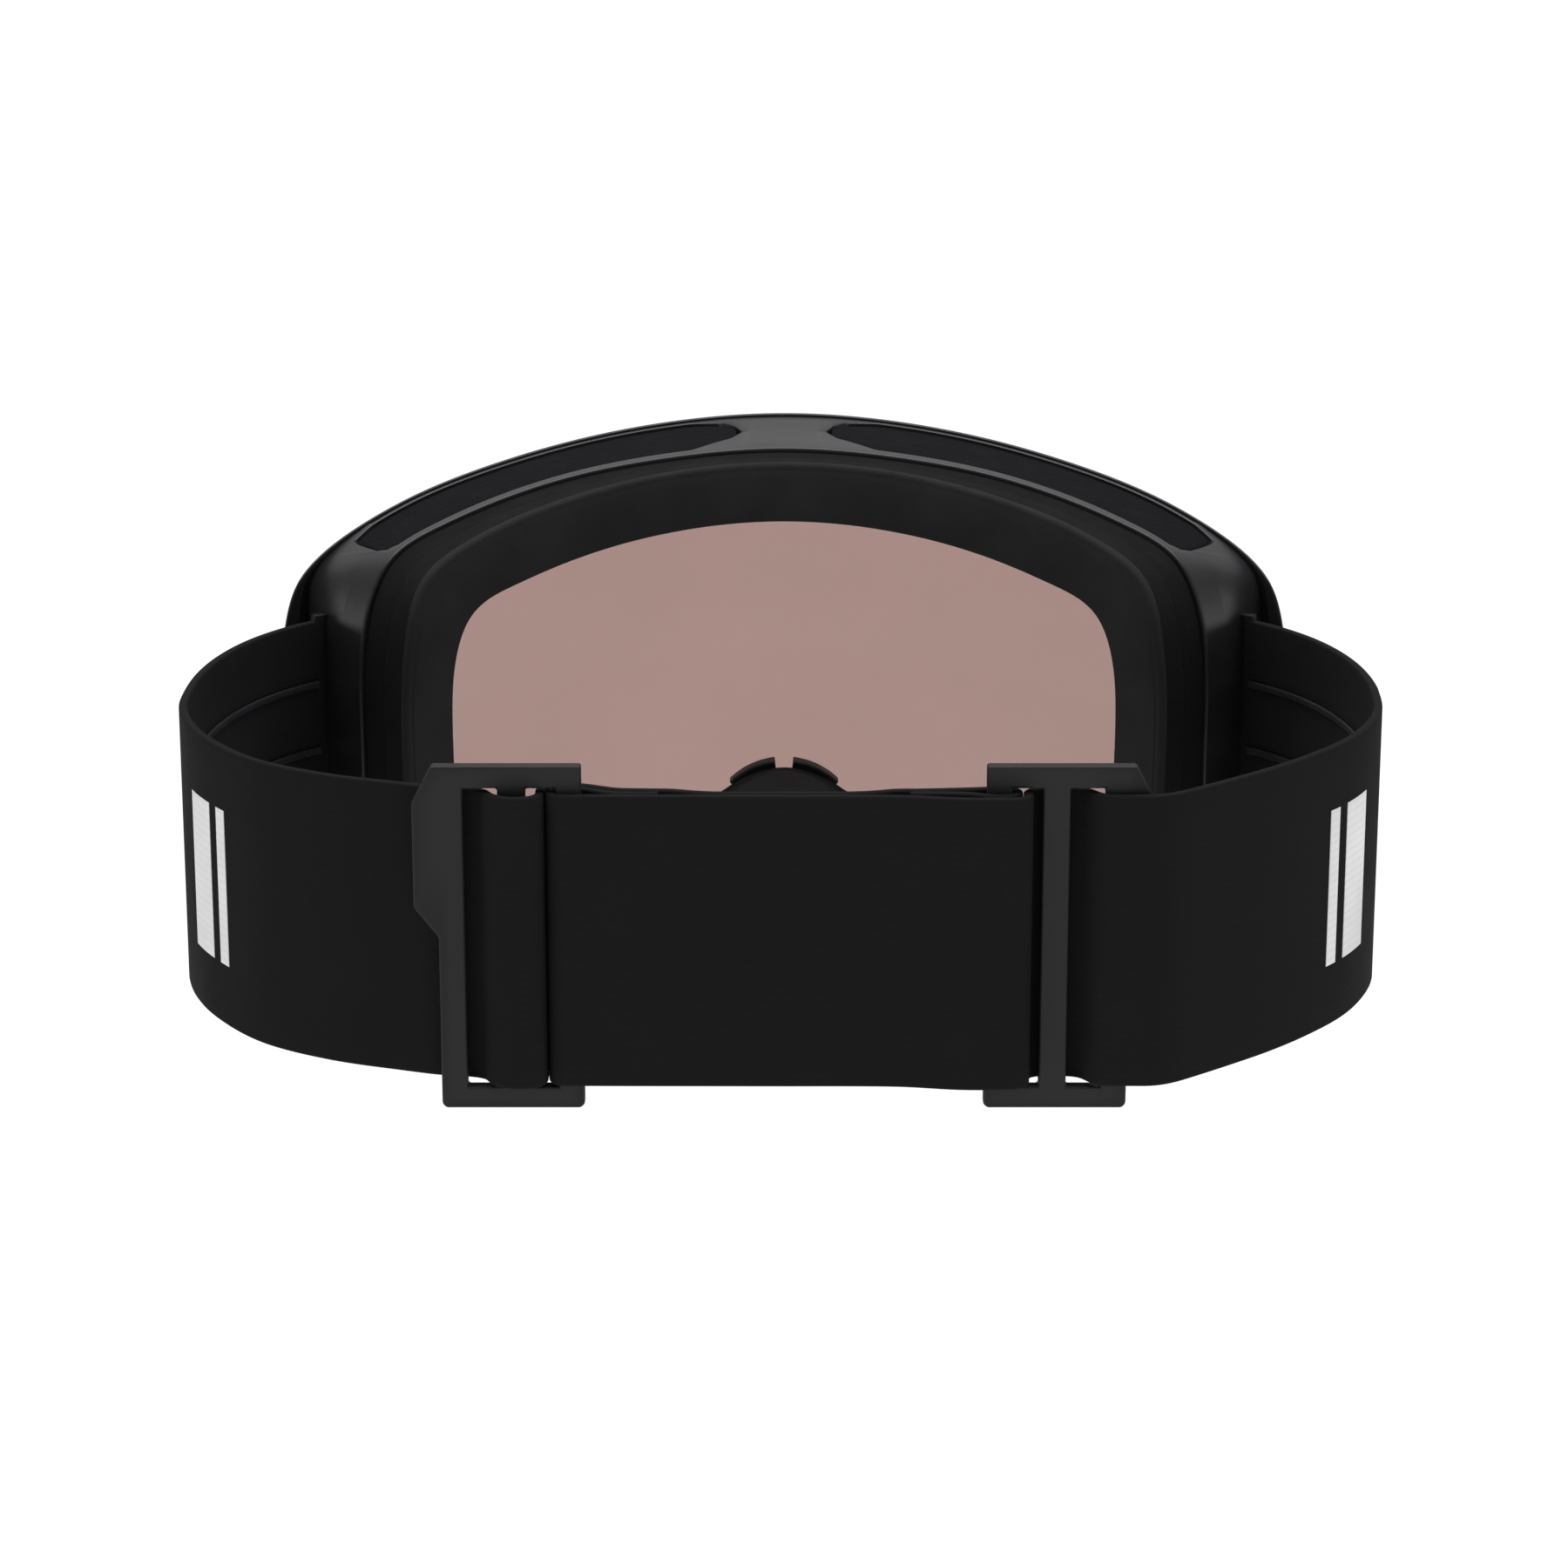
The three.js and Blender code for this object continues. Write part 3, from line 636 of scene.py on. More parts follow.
def wall(share, depth=0.0):
    """A line in the wall: a share of the way from its rear to its front, a depth in from outside."""
    share = np.broadcast_to(share, STATIONS)[:, None]
    outside, inside = lerp(WALL_REAR, WALL_FRONT, share), lerp(INSIDE_REAR, INSIDE_FRONT, share)
    return lerp(outside, inside, np.broadcast_to(depth, STATIONS)[:, None] / WALL_THICK)


def on_floor(lines):
    """Flattens what would reach below the plane that the frame stands on."""
    return [np.stack([l[:, 0], l[:, 1], np.maximum(l[:, 2], FLOOR_Z)], axis=1) for l in lines]


def lip_width():
    """How far the lip stands out of the wall, at each station."""
    return np.linalg.norm(FRONT - WALL, axis=1)


def lip(share, depth=0.0):
    """A line on the lip's rear face, a share of the way out from the wall and a depth into it."""
    return laid_on(lerp(WALL, FRONT, share), lens_y(LIP_DEPTH)) + depth * np.array([0, 1, 0])


def frame_lines():
    """The frame's cross-section, and the numbers of its lines along the vents' edges."""
    width = lip_width()
    shallow, deep = GROOVE_LIP
    groove = GROOVE_DEPTH * np.clip((width[:, None] - shallow) / (deep - shallow), 0, 1)
    floor_start, floor_end, groove_end = GROOVE_SHARES
    hole = inset(HOLE, -FLANGE_SET_BACK)
    inner_corner = laid_on(inset(WALL, WALL_THICK), lens_y(FLANGE_DEPTH))
    corners = [
        WALL_REAR, lip(0.0), lip(floor_start, groove), lip(floor_end, groove), lip(groove_end), lip(1.0),
        laid_on(FRONT, lens_y(FRAME_FRONT_DEPTH)), laid_on(APERTURE, lens_y(FRAME_FRONT_DEPTH)),
        laid_on(APERTURE, lens_y(FLANGE_DEPTH)), inner_corner,
        laid_on(inset(BEAD, WALL_THICK), bead_y(FLANGE_THICK)),
        laid_on(hole, bead_y(FLANGE_THICK)), laid_on(hole, bead_y()),
    ]
    groove_round, lip_round = np.minimum(0.1, 0.1 * width), np.minimum(LIP_ROUND, 0.45 * width)
    radii = [0.6, 0, 0, groove_round, groove_round, lip_round, 0.3, 0.6, 0.4, 0, 0, 0.5, 0.5]
    lines = rounded(corners, radii)
    vent_start = CORNER_LINES  # the rounded rear corner's lines come first
    sunk = VENT_EDGE_SUNK * VENTED
    lines[vent_start:vent_start] = [
        wall(VENT_REAR - VENT_EDGE_SHARE), wall(VENT_REAR, sunk),
        wall(VENT_FRONT, sunk), wall(VENT_FRONT + VENT_EDGE_SHARE),
    ]
    inside = 1 + next(k for k, line in enumerate(lines) if line is inner_corner)
    lines[inside:inside] = [wall(VENT_FRONT, WALL_THICK), wall(VENT_REAR, WALL_THICK)]
    return on_floor(lines), (vent_start + 1, vent_start + 2, inside, inside + 1)


def frame_shell():
    """The frame in one moulding, open at its vents."""
    lines, (outer_rear, outer_front, inner_front, inner_rear) = frame_lines()
    open_here = VENTED & np.roll(VENTED, -1)

    def in_vent(i, j):
        return open_here[j] and i in (outer_rear, inner_front)

    def number(i, j):
        return i * STATIONS + j % STATIONS

    faces = grid_faces(len(lines), STATIONS, True, True, in_vent)
    for j in np.flatnonzero(open_here):
        for a, b in ((outer_rear, inner_rear), (inner_front, outer_front)):
            faces.append((number(a, j), number(a, j + 1), number(b, j + 1), number(b, j)))
    for j in np.flatnonzero(VENTED):
        if not (open_here[j] and open_here[j - 1]):
            faces.append(tuple(
                number(i, j) for i in (outer_rear, outer_front, inner_front, inner_rear)
            ))
    return piece("frame_shell", np.array(lines).reshape(-1, 3), faces, FRAME_PLASTIC.material)


def vent_foam(name, vent, side):
    """Foam that fills a vent, set a little below the wall and slightly crowned."""
    inside = vent_columns(vent) & ((AROUND <= POINTS / 2) == (side > 0))
    columns = np.flatnonzero(inside)
    columns = columns[np.argsort(HALF_AROUND[columns])][1:-1]
    low = VENT_REAR + VENT_CLEAR[0]
    high = np.maximum(VENT_FRONT - VENT_CLEAR[1], low + 0.01)
    rows = []
    for share in np.linspace(0, 1, 13):
        crown = VENT_FOAM_CROWN * (1 - (2 * share - 1) ** 6)
        rows.append(wall(lerp(low, high, share), VENT_FOAM_SUNK - crown)[columns])
    for share in np.linspace(1, 0, 3):
        rows.append(wall(lerp(low, high, share), VENT_FOAM_BACK)[columns])
    return strip_piece(name, rows, VENT_FOAM.material)


# ------------ face foam

FOAM_OUTER = laid_on(inset(BEAD, FOAM_SHOWN_BACK), bead_y(-GAP))
FOAM_INNER = laid_on(HOLE, bead_y(-GAP))
FACE_OUTER = laid_on(FACE, face_y())
FACE_INNER = laid_on(EYE, face_y())


def foam_ring(name, start, end, radii, material, crown):
    """A layer of the foam ring: its rear side is towards the face, and may be crowned."""
    outer = [lerp(FOAM_OUTER, FACE_OUTER, share) for share in (start, end)]
    inner = [lerp(FOAM_INNER, FACE_INNER, share) for share in (start, end)]
    lines = rounded([outer[0], outer[1], inner[1], inner[0]], radii)
    if crown:
        across = []
        for share in np.linspace(0.15, 0.85, 9):
            line = lerp(outer[1], inner[1], share)
            line[:, 1] -= crown * (1 - (2 * share - 1) ** 2)
            across.append(line)
        after_outer = 2 * CORNER_LINES
        lines[after_outer:after_outer] = across
    return ring_piece(name, lines, material)


# ------------ lens unit

INNER_LENS_LINE = lerp(LENS, APERTURE, INNER_LENS_SHARE)
INNER_LENS_BACK = LENS_BACK + RIM_THICK - INNER_LENS_THICK


def lens_sheet(name, line, back, thick):
    """A curved sheet cut to an outline, with one column of faces for each station of its top."""
    rows = 26
    x, z = line[:, 0], line[:, 1]
    right, left = int(np.argmax(x)), int(np.argmin(x))
    top = np.arange(left - STATIONS, right + 1)
    below = np.arange(right, left + 1)
    bottom = np.interp(x[top], x[below][::-1], z[below][::-1])
    shares = np.linspace(0, 1, rows)[:, None]
    heights = lerp(z[top][None, :], bottom[None, :], shares)
    across = np.broadcast_to(x[top], heights.shape)
    from_edge = np.minimum(shares, 1 - shares) * (z[top] - bottom)[None, :]
    ease = LENS_EDGE_EASE * (1 - smoothstep(0, LENS_EDGE_REACH, from_edge))
    front = np.stack([across, lens_y(back)(across) - ease, heights], axis=-1)
    rear = np.stack([across, lens_y(back + thick)(across) + ease, heights], axis=-1)
    columns = len(top)
    grid = np.concatenate([front, rear[::-1]])
    faces = grid_faces(2 * rows, columns, True, False)
    for j in (0, columns - 1):
        for i in range(rows - 1):
            a, b = i * columns + j, (i + 1) * columns + j
            c, d = (2 * rows - 1 - i) * columns + j, (2 * rows - 2 - i) * columns + j
            faces.append((a, b, d, c))
    return piece(name, grid.reshape(-1, 3), faces, LENS_TINT.material)


def disc(name, centre, axis, radius, thick, material):
    """A bevelled disc whose front face's middle is at a point."""
    sides = 40
    axis = unit(np.asarray(axis, float))
    up = np.array([0, 0, 1.0])
    sideways = np.cross(up, axis)
    bevel, flat = DISC_BEVEL, radius - 1.0
    profile = [
        (flat, 0), (radius - bevel, 0), (radius - bevel * 0.3, bevel * 0.3), (radius, bevel),
        (radius, thick - bevel), (radius - bevel, thick), (flat, thick),
    ]
    turns = 2 * np.pi * np.arange(sides) / sides
    spokes = np.cos(turns)[:, None] * sideways + np.sin(turns)[:, None] * up
    grid = np.array([centre + r * spokes - depth * axis for r, depth in profile])
    faces = grid_faces(len(profile), sides, False, True)
    faces.append(tuple(range(sides)))
    faces.append(tuple((len(profile) - 1) * sides + j for j in range(sides)))
    return piece(name, grid.reshape(-1, 3), faces, material)


def magnets(kind, body, back, proud):
    """Three discs a side in the rim or in the frame's front face."""
    line = lerp(LENS, APERTURE, MAGNET_SHARE)
    for number, point in enumerate(MAGNET_POINTS, 1):
        for name, station in (("right", point), ("left", POINTS - point)):
            x, z = line[int(station * PER_POINT)]
            axis = (x / LENS_RADIUS, math.sqrt(1 - (x / LENS_RADIUS) ** 2), 0)
            centre = np.array([x, lens_y(back)(x), z]) + proud * np.array(axis)
            made = disc(
                f"{kind}_disc_{number}_{name}", centre, axis, MAGNET_RADIUS, MAGNET_THICK - GAP / 2,
                MAGNET_STEEL.material,
            )
            stands_for(made, body, "magnet_steel", f"{kind}_magnet_{number}_{name}")


def lens_ring(name, outer, inner, front, back, radii, material):
    """A ring between two outlines and two depths behind the lens's front face."""
    return ring_piece(name, rounded([
        laid_on(outer, lens_y(front)), laid_on(inner, lens_y(front)),
        laid_on(inner, lens_y(back)), laid_on(outer, lens_y(back)),
    ], radii), material)


def lens_unit():
    """The two sheets, the rim behind the outer one, the seal between them and the rim's magnets."""
    sheet_front = lens_sheet("lens_front_sheet", LENS, 0, OUTER_LENS_THICK)
    stands_for(sheet_front, "lens_unit", "lens_tint", "outer_lens")
    sheet_back = lens_sheet("lens_back_sheet", INNER_LENS_LINE, INNER_LENS_BACK, INNER_LENS_THICK)
    stands_for(sheet_back, "lens_unit", "lens_tint", "inner_lens")
    for sheet in (sheet_front, sheet_back):
        sheet.visible_shadow = False
    rim = lens_ring(
        "rim_moulding", inset(LENS, RIM_INSET), lerp(LENS, APERTURE, RIM_SHARE), LENS_BACK,
        LENS_BACK + RIM_THICK, [0.3, 0.4, 0.4, 0.5], RIM_PLASTIC.material,
    )
    stands_for(rim, "lens_unit", "rim_plastic", "lens_rim")
    seal = lens_ring(
        "seal_strip", INNER_LENS_LINE, lerp(LENS, APERTURE, SEAL_SHARE), LENS_BACK,
        INNER_LENS_BACK - GAP, [0.25, 0.35, 0.35, 0.25], SEAL_FOAM.material,
    )
    stands_for(seal, "lens_unit", "seal_foam", "lens_seal")
    magnets("rim", "lens_unit", LENS_BACK + RIM_THICK - MAGNET_THICK + GAP / 2, 0)


# ------------ strap

PLAN_PASSES = 8


def bezier(a, b, c, d, count):
    t = np.linspace(0, 1, count)[:, None]
    a, b, c, d = (np.array(p, float) for p in (a, b, c, d))
    return a * (1 - t) ** 3 + 3 * b * t * (1 - t) ** 2 + 3 * c * t**2 * (1 - t) + d * t**3


def smooth_plan(points, steps=12):
    """A plan that turns smoothly through a few points, in so many steps from one to the next."""
    p = np.array(points, float)
    p = np.concatenate([p[:1], p, p[-1:]])
    t = np.arange(steps)[None, :, None] / steps
    p0, p1, p2, p3 = (v[:, None, :] for v in (p[:-3], p[1:-2], p[2:-1], p[3:]))
    m, n = (p2 - p0) / 2, (p3 - p1) / 2
    curve = p1 + m * t + (3 * (p2 - p1) - 2 * m - n) * t**2 + (2 * (p1 - p2) + m + n) * t**3
    return np.concatenate([curve.reshape(-1, 2), p[-1:]])


def lengths(plan):
    """How far along a plan each of its points is."""
    return np.concatenate([[0], np.cumsum(np.linalg.norm(np.diff(plan, axis=0), axis=1))])


def spaced(plan, spacing, start, end):
    """The plan, or a stretch of it, with its points evenly spaced, and how far along each is."""
    far = lengths(plan)
    end = far[-1] if end is None else end
    at = np.linspace(start, end, max(2, int(round((end - start) / spacing)) + 1))
    return np.stack([np.interp(at, far, plan[:, k]) for k in (0, 1)], axis=1), at


def eased(plan):
    """A plan with its ends kept and its turns evened out."""
    plan = plan.copy()
    for _ in range(PLAN_PASSES):
        plan[1:-1] = (plan[:-2] + 2 * plan[1:-1] + plan[2:]) / 4
    return plan


def band(
    name, plan, material, spacing, thick=STRAP_THICK, width=STRAP_WIDTH, corner=0.42, columns=10,
    z=0.0, offset=0.0, start=0.0, end=None,
):
    """A flat length that follows a plan, its edges rounded, with its own measures for its weave.

    The offset is to the left of the plan's own direction, and start and end are along it.
    """
    plan, at = spaced(plan, spacing, start, end)
    along = unit(np.gradient(plan, axis=0))
    sideways = np.stack([-along[:, 1], along[:, 0]], axis=1)
    half_thick, half_width = thick / 2, width / 2
    corner = min(corner, half_thick, half_width)
    quarter = [
        (half_thick - corner + corner * math.cos(turn), half_width - corner + corner * math.sin(turn))
        for turn in np.linspace(0, np.pi / 2, 5)
    ]
    flat = np.linspace(-half_width + corner, half_width - corner, columns + 2)[1:-1]
    section = [(half_thick, up) for up in flat]
    section += quarter
    section += [(-d, up) for d, up in quarter[::-1]]
    section += [(-half_thick, up) for up in flat[::-1]]
    section += [(-d, -up) for d, up in quarter]
    section += [(d, -up) for d, up in quarter[::-1]]
    lines, places = [], []
    for d, up in section:
        edge = plan + sideways * (offset + d)
        height = np.full(len(plan), z + up)
        lines.append(np.stack([edge[:, 0], edge[:, 1], height], axis=1))
        places.append(np.stack([at, height, np.full(len(plan), d)], axis=1))
    obj = strip_piece(name, lines, material)
    set_places(obj, np.concatenate(places))
    return obj


def flipped(plan, side):
    """A plan drawn for the wearer's right, turned over for the left."""
    return plan * np.array([side, 1])


# From beside the head to the slot beside each buckle's inner bar: the right side goes over its
# buckle's outer bar and under the middle one, and the left side the other way about.
RIGHT_PLAN = np.concatenate([
    bezier((78.6, 0.55), (87.4, -7.6), (94.2, -22), (94.2, -44), 40)[:-1],
    eased(smooth_plan([
        (94.2, -44), (93.4, -56), (90.8, -65.6), (86.4, -75.0), (80.2, -83.6), (73.7, -90.9),
        (67.2, -97.0), (61.4, -102.1), (57.8, -105.0), (54.8, -106.35), (51.5, OVER), (49, OVER),
        (46.6, OVER + 0.5), (44.4, UNDER - 0.8), (42, UNDER), (38.4, UNDER), (36.6, UNDER - 0.7),
        (SLOT, BUCKLE_Y),
    ])),
])
LEFT_PLAN = np.concatenate([
    bezier((78.6, 0.55), (88, -7.9), (94.9, -23), (94.9, -46), 40)[:-1],
    eased(smooth_plan([
        (94.9, -46), (94.6, -55), (92.2, -65.4), (87.5, -76.0), (79.4, -87.3), (68.3, -95.0),
        (57.5, -99.4), (51.6, -101.5), (47.8, UNDER), (45.4, UNDER - 0.7), (44.0, -103.9),
        (43.0, -105.9), (41.2, -107.4), (38.9, -107.9), (36.9, -107.2), (35.9, -105.8),
        (SLOT, BUCKLE_Y),
    ])),
])
SIDE_PLANS = {"right": RIGHT_PLAN, "left": LEFT_PLAN}

# Between the buckles each side's strap runs on, the right one outside, to the other side's buckle,
# where it goes round the inner bar and is sewn to itself. They are drawn in halves, from the middle.
CLEAR = OVER - LAYER_STEP
OUTER_FREE_HALF = smooth_plan([
    (0, -106.6), (11, -106.6), (18, -106.9), (26, CLEAR), (33, CLEAR), (35.0, CLEAR + 0.5),
    (35.7, CLEAR + 1.5), (SLOT, OVER + 0.6), (SLOT, BUCKLE_Y),
])
OUTER_SEWN_HALF = smooth_plan([
    (0, -106.6), (12, -106.55), (24, -106.5), (29, OVER), (32.5, OVER), (33.9, OVER + 0.7),
    (34.35, BUCKLE_Y), (33.9, UNDER - 0.7), (32.5, UNDER), (30.2, UNDER - 0.1), (27.6, -103.6),
    (25, -104.7), (22.5, -104.95), (18.5, -104.95),
], 10)
INNER_FREE_HALF = smooth_plan([
    (0, -105.0), (8, -105.0), (12.5, -104.6), (16.5, -103.5), (20, -103.3), (24.4, -103.0),
    (27, -101.9), (29.4, -100.75), (31.4, -100.45), (33.4, -100.4), (35.1, -100.8),
    (35.7, UNDER + 0.4), (SLOT, BUCKLE_Y),
])
INNER_SEWN_HALF = smooth_plan([
    (0, -105.0), (8, -105.0), (12.5, -104.6), (16.5, -103.5), (20, -103.4), (27, -102.8),
    (32.5, UNDER), (33.9, UNDER - 0.7), (34.35, BUCKLE_Y), (33.9, OVER + 0.7), (32.5, OVER),
    (30.2, OVER + 0.1), (27.6, -105.4), (25, -105.0), (22.5, -104.95), (18.5, -104.95),
], 10)


# The level, in plan, of the layer that shows the stitches of each buckle's sewn end.
SEWN_LEVELS = {"right": -103.35, "left": -104.95}


def spans(obj, name, bend, slot, *nodes):
    """The fabric's transform is baked into its mesh and it stands for nodes, which it hides; its name,
    bend and slot are not used.
    """
    if nodes:
        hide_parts(*nodes)
    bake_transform(obj)


def stitches(name, spots, along, away):
    """A row of sewn stitches: small rounded threads that lie on a face."""
    vertices, faces = [], []
    sides, rings = 8, 7
    along, away = unit(np.asarray(along, float)), unit(np.asarray(away, float))
    across = np.cross(along, away)
    for spot in spots:
        base = len(vertices)
        for k in range(rings):
            place = (k / (rings - 1) - 0.5) * STITCH_LENGTH
            swell = math.sqrt(max(1 - (2 * k / (rings - 1) - 1) ** 4, 0.04))
            rise = away * (STITCH_RADIUS * STITCH_RISE * swell)
            middle = np.asarray(spot) + along * place + rise
            for turn in 2 * np.pi * np.arange(sides) / sides:
                spoke = math.cos(turn) * across + STITCH_FLATNESS * math.sin(turn) * away
                vertices.append(middle + STITCH_RADIUS * swell * spoke)
        for k in range(rings - 1):
            for s in range(sides):
                a, b = base + k * sides + s, base + k * sides + (s + 1) % sides
                faces.append((a, b, b + sides, a + sides))
        faces.append(tuple(base + s for s in range(sides)))
        faces.append(tuple(base + (rings - 1) * sides + s for s in range(sides)))
    return piece(name, np.array(vertices), faces, THREAD.material)


def plan_point(plan, distance):
    """A point of a plan and its direction there."""
    far = lengths(plan)
    before, point, after = (
        np.array([np.interp(distance + step, far, plan[:, k]) for k in (0, 1)])
        for step in (-0.5, 0, 0.5)
    )
    return point, unit(after - before)


def strap_side(name):
    """One side's strap with its grip beads, its printed bars and the stitching at its clip."""
    side = SIDE_SIGNS[name]  # also the sign of an offset away from the head
    plan = flipped(SIDE_PLANS[name], side)
    whole = band(f"strap_length_{name}", plan, WEBBING.material, 0.8)
    spans(whole, name, SIDE_BEND, "webbing", f"strap_side_{name}", f"strap_weave_{name}")
    for number, level in enumerate((1, 0, -1), 1):
        bead = band(
            f"grip_bead_{number}_{name}", plan, SILICONE.material, 0.9, thick=GRIP_THICK,
            width=GRIP_WIDTH, corner=0.3, columns=2, z=level * GRIP_SPACING,
            offset=-side * (STRAP_THICK / 2 + GRIP_PROUD), start=GRIP_REACH[0], end=GRIP_REACH[1],
        )
        spans(bead, name, SIDE_BEND, "silicone", f"grip_line_{number}_{name}")
    for number, (start, end) in enumerate(PRINT_BARS, 1):
        bar = band(
            f"strap_bar_{number}_{name}", plan, PRINT.material, 0.5, thick=PRINT_THICK,
            width=PRINT_HEIGHT, corner=0.05, offset=side * (STRAP_THICK / 2 + PRINT_PROUD),
            start=start, end=end,
        )
        spans(bar, name, SIDE_BEND, "webbing")
    for number, distance in enumerate(CLIP_STITCHES, 1):
        point, direction = plan_point(plan, distance)
        away = np.array([-direction[1], direction[0], 0]) * side
        spots = [np.array([*point, z]) + away * STRAP_THICK / 2 for z in STITCH_HEIGHTS]
        sewn = stitches(f"clip_stitches_{number}_{name}", spots, (0, 0, 1), away)
        stands_for(sewn, "frame", "webbing")


def strap_middle():
    """The two layers between the buckles, in halves, and the stitching of their sewn ends."""
    halves = (
        ("strap_outer_right", "right", OUTER_FREE_HALF, "strap_outer_layer"),
        ("strap_outer_left", "left", OUTER_SEWN_HALF, "strap_loop_left"),
        ("strap_inner_left", "left", INNER_FREE_HALF, "strap_inner_layer"),
        ("strap_inner_right", "right", INNER_SEWN_HALF, "strap_loop_right"),
    )
    for piece_name, name, plan, node in halves:
        half = band(piece_name, flipped(plan, SIDE_SIGNS[name]), WEBBING.material, 0.7)
        spans(half, name, MIDDLE_BEND, "webbing", node)
    for name, side in SIDE_SIGNS.items():
        for number, x in enumerate(LOOP_STITCHES, 1):
            spots = [(side * x, SEWN_LEVELS[name] + STRAP_THICK / 2, z) for z in STITCH_HEIGHTS]
            sewn = stitches(f"loop_stitches_{number}_{name}", spots, (0, 0, 1), (0, 1, 0))
            spans(sewn, name, MIDDLE_BEND, "webbing")


# ------------ frame pieces


def nose_lips():
    """Two raised lips on the nose bridge, arcs on either side of its middle."""
    turns = np.radians(np.linspace(NOSE_LIP["from"], NOSE_LIP["to"], 30))
    outer, root = NOSE_LIP["radius"], NOSE_LIP["radius"] - NOSE_LIP["depth"]
    rear, front = NOSE_LIP["rear"], NOSE_LIP["front"]
    for name, side in SIDE_SIGNS.items():
        corners = [
            np.stack([
                side * radius * np.sin(turns), np.full(len(turns), y),
                NOSE_LIP["centre"] + radius * np.cos(turns),
            ], axis=1)
            for radius, y in ((outer, rear), (outer, front), (root, front), (root, rear))
        ]
        lines = rounded(corners, [0.35, 0.35, 0.1, 0.1])
        made = strip_piece(f"nose_lip_{name}", lines, FRAME_PLASTIC.material)
        stands_for(made, "frame", "frame_plastic")


# The clip's bar, its stem through the wall and its barb inside: along the wall, and in from outside.
CLIP_SECTION = (
    (-0.85, -1.75), (0.85, -1.75), (0.85, -0.3), (0.75, -0.3), (0.75, 2.7), (1.65, 2.7), (0.75, 4.4),
    (-0.75, 4.4), (-1.65, 2.7), (-0.75, 2.7), (-0.75, -0.3), (-0.85, -0.3),
)


def clip_moulding(name, side):
    """The moulding that a strap's end is sewn round, as high as the strap and a little more."""
    station = CLIP_POINT * PER_POINT
    rear, front = WALL_REAR[station, :2], WALL_FRONT[station, :2]
    at, forward = lerp(rear, front, CLIP_SHARE), unit(front - rear)
    inward = np.array([-forward[1], forward[0]])
    half_height = STRAP_WIDTH / 2 + 1
    heights = np.array([-half_height, -half_height + 0.3, half_height - 0.3, half_height])
    tighter = np.array([0.7, 1, 1, 0.7])  # the bar's ends are eased
    lines = []
    for along, deep in CLIP_SECTION:
        spots = at + np.outer(tighter * along, forward) + deep * inward
        lines.append(np.stack([side * spots[:, 0], spots[:, 1], heights], axis=1))
    made = strip_piece(f"clip_moulding_{name}", lines, CLIP_PLASTIC.material)
    stands_for(made, "frame", "clip_plastic", f"strap_clip_{name}")


def frame_pieces():
    """The frame with its vents' foam, magnets and clips, and the two buckles."""
    stands_for(frame_shell(), "frame", "frame_plastic", "frame")
    nose_lips()
    for place, vent in (("top", TOP_VENT), ("bottom", BOTTOM_VENT)):
        for name, side in SIDE_SIGNS.items():
            foam = vent_foam(f"{place}_vent_pad_{name}", vent, side)
            stands_for(foam, "frame", "vent_foam", f"{place}_vent_foam_{name}")
    magnets("frame", "frame", FRAME_FRONT_DEPTH + GAP / 2, GAP / 2 + MAGNET_PROUD)
    for name, side in SIDE_SIGNS.items():
        clip_moulding(name, side)
        plate = bevelled_copy(
            f"buckle_{name}", f"ladder_buckle_{name}", BUCKLE_BEVEL, BUCKLE_PLASTIC.material
        )
        stands_for(plate, f"buckle_{name}", "buckle_plastic", f"buckle_{name}")


def face_foam():
    """The three layers, each from one share of the foam's depth to another."""
    layers = (
        ("foam_base_ring", "foam_base_layer", "face_foam", BASE_FOAM,
         (0, 0.449), [0.25, 0.1, 0.1, 0.4], 0),
        ("foam_middle_ring", "foam_middle_layer", "face_foam", MIDDLE_FOAM,
         (0.451, 0.849), [0.1, 0.1, 0.1, 0.1], 0),
        ("fleece_ring", "foam_fleece_layer", "fleece", FLEECE,
         (0.851, 1), [0.1, 1.1, 0.5, 0.1], FLEECE_CROWN),
    )
    for name, node, finish, surface, (start, end), radii, crown in layers:
        ring = foam_ring(name, start, end, radii, surface.material, crown)
        stands_for(ring, "frame", finish, node)


frame_pieces()
face_foam()
lens_unit()
for strap_name in SIDE_SIGNS:
    strap_side(strap_name)
strap_middle()

# ------------ stage, light and camera

FLOOR_SIZE = 12.0  # metres
FLOOR_GLOW = 0.96
WORLD_GLOW = 0.2
FLOOR_POINTS = 4  # along each side
MIDDLE_HEIGHT = 0.05  # of the goggles, metres


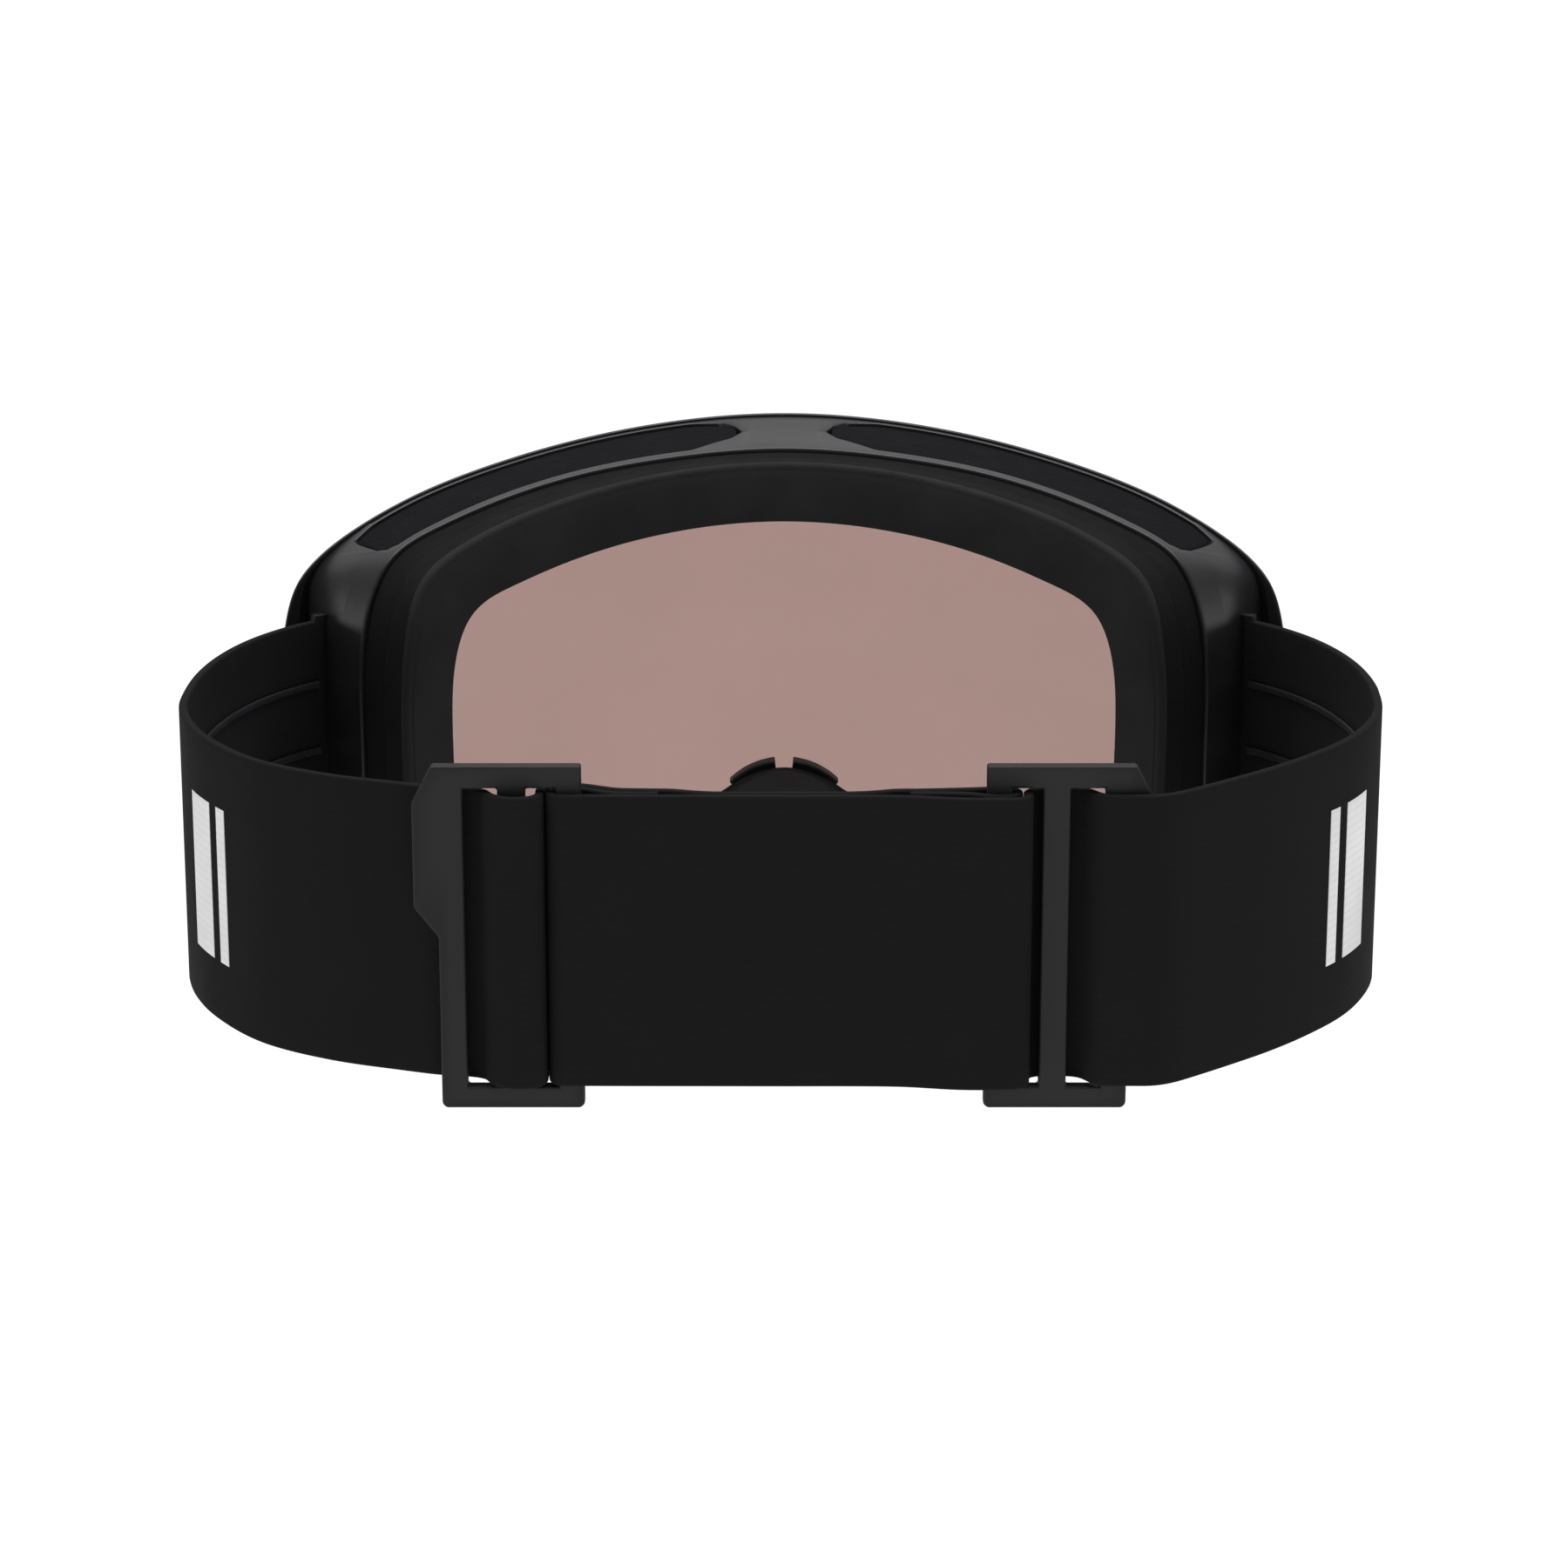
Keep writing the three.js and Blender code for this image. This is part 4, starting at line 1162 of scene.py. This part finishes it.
def stage_floor():
    """Plain pale paper, evenly lit by a glow of its own."""
    mesh = bpy.data.meshes.new("floor")
    spots = np.linspace(-FLOOR_SIZE / 2, FLOOR_SIZE / 2, FLOOR_POINTS)
    vertices = [(x, y, 0) for y in spots for x in spots]
    mesh.from_pydata(vertices, [], grid_faces(FLOOR_POINTS, FLOOR_POINTS, False, False))
    paper = Surface("floor_paper", (0.1, 0.1, 0.1), 0.9, specular=0.1, spread=0.01, patch=3)
    paper.grain(paper.noise(300, 2), 0.02)
    paper.put(Emission_Color=(1, 1, 1, 1), Emission_Strength=FLOOR_GLOW)
    shown("floor", mesh, paper.material)


def soft_light(name, place, target, size, power):
    """A large soft lamp, in metres and watts, that faces a point."""
    lamp = bpy.data.lights.new(name, "AREA")
    lamp.shape = "RECTANGLE"
    lamp.size, lamp.size_y = size
    lamp.energy = power
    obj = bpy.data.objects.new(name, lamp)
    obj.location = place
    obj.rotation_euler = (Vector(target) - Vector(place)).to_track_quat("-Z", "Y").to_euler()
    bpy.context.scene.collection.objects.link(obj)


stage_floor()
soft_light("top_light", (0, 0.15, 1.1), (0, 0, MIDDLE_HEIGHT), (1.6, 1.2), 19)
soft_light("left_light", (-1.1, -0.5, 0.35), (0, 0, MIDDLE_HEIGHT), (0.5, 0.7), 1.0)
soft_light("right_light", (1.1, -0.5, 0.35), (0, 0, MIDDLE_HEIGHT), (0.5, 0.7), 1.0)
soft_light("front_light", (0, 2.2, 0.76), (0, 0, 0.1), (4.0, 1.4), 4.7)

world = bpy.data.worlds.new("studio")
bpy.context.scene.world = world
world.use_nodes = True
background = world.node_tree.nodes["Background"]
background.inputs["Color"].default_value = (1, 1, 1, 1)
background.inputs["Strength"].default_value = WORLD_GLOW

camera = bpy.data.objects.new("camera", bpy.data.cameras.new("camera"))
camera.data.lens = 100
camera.data.sensor_width = 36
camera.data.clip_start = 0.01
camera.location = (0, -0.68675, 0.24839)
camera.rotation_euler = (math.radians(74), 0, 0)
bpy.context.scene.collection.objects.link(camera)
bpy.context.scene.camera = camera
bpy.context.scene.view_settings.view_transform = "Standard"
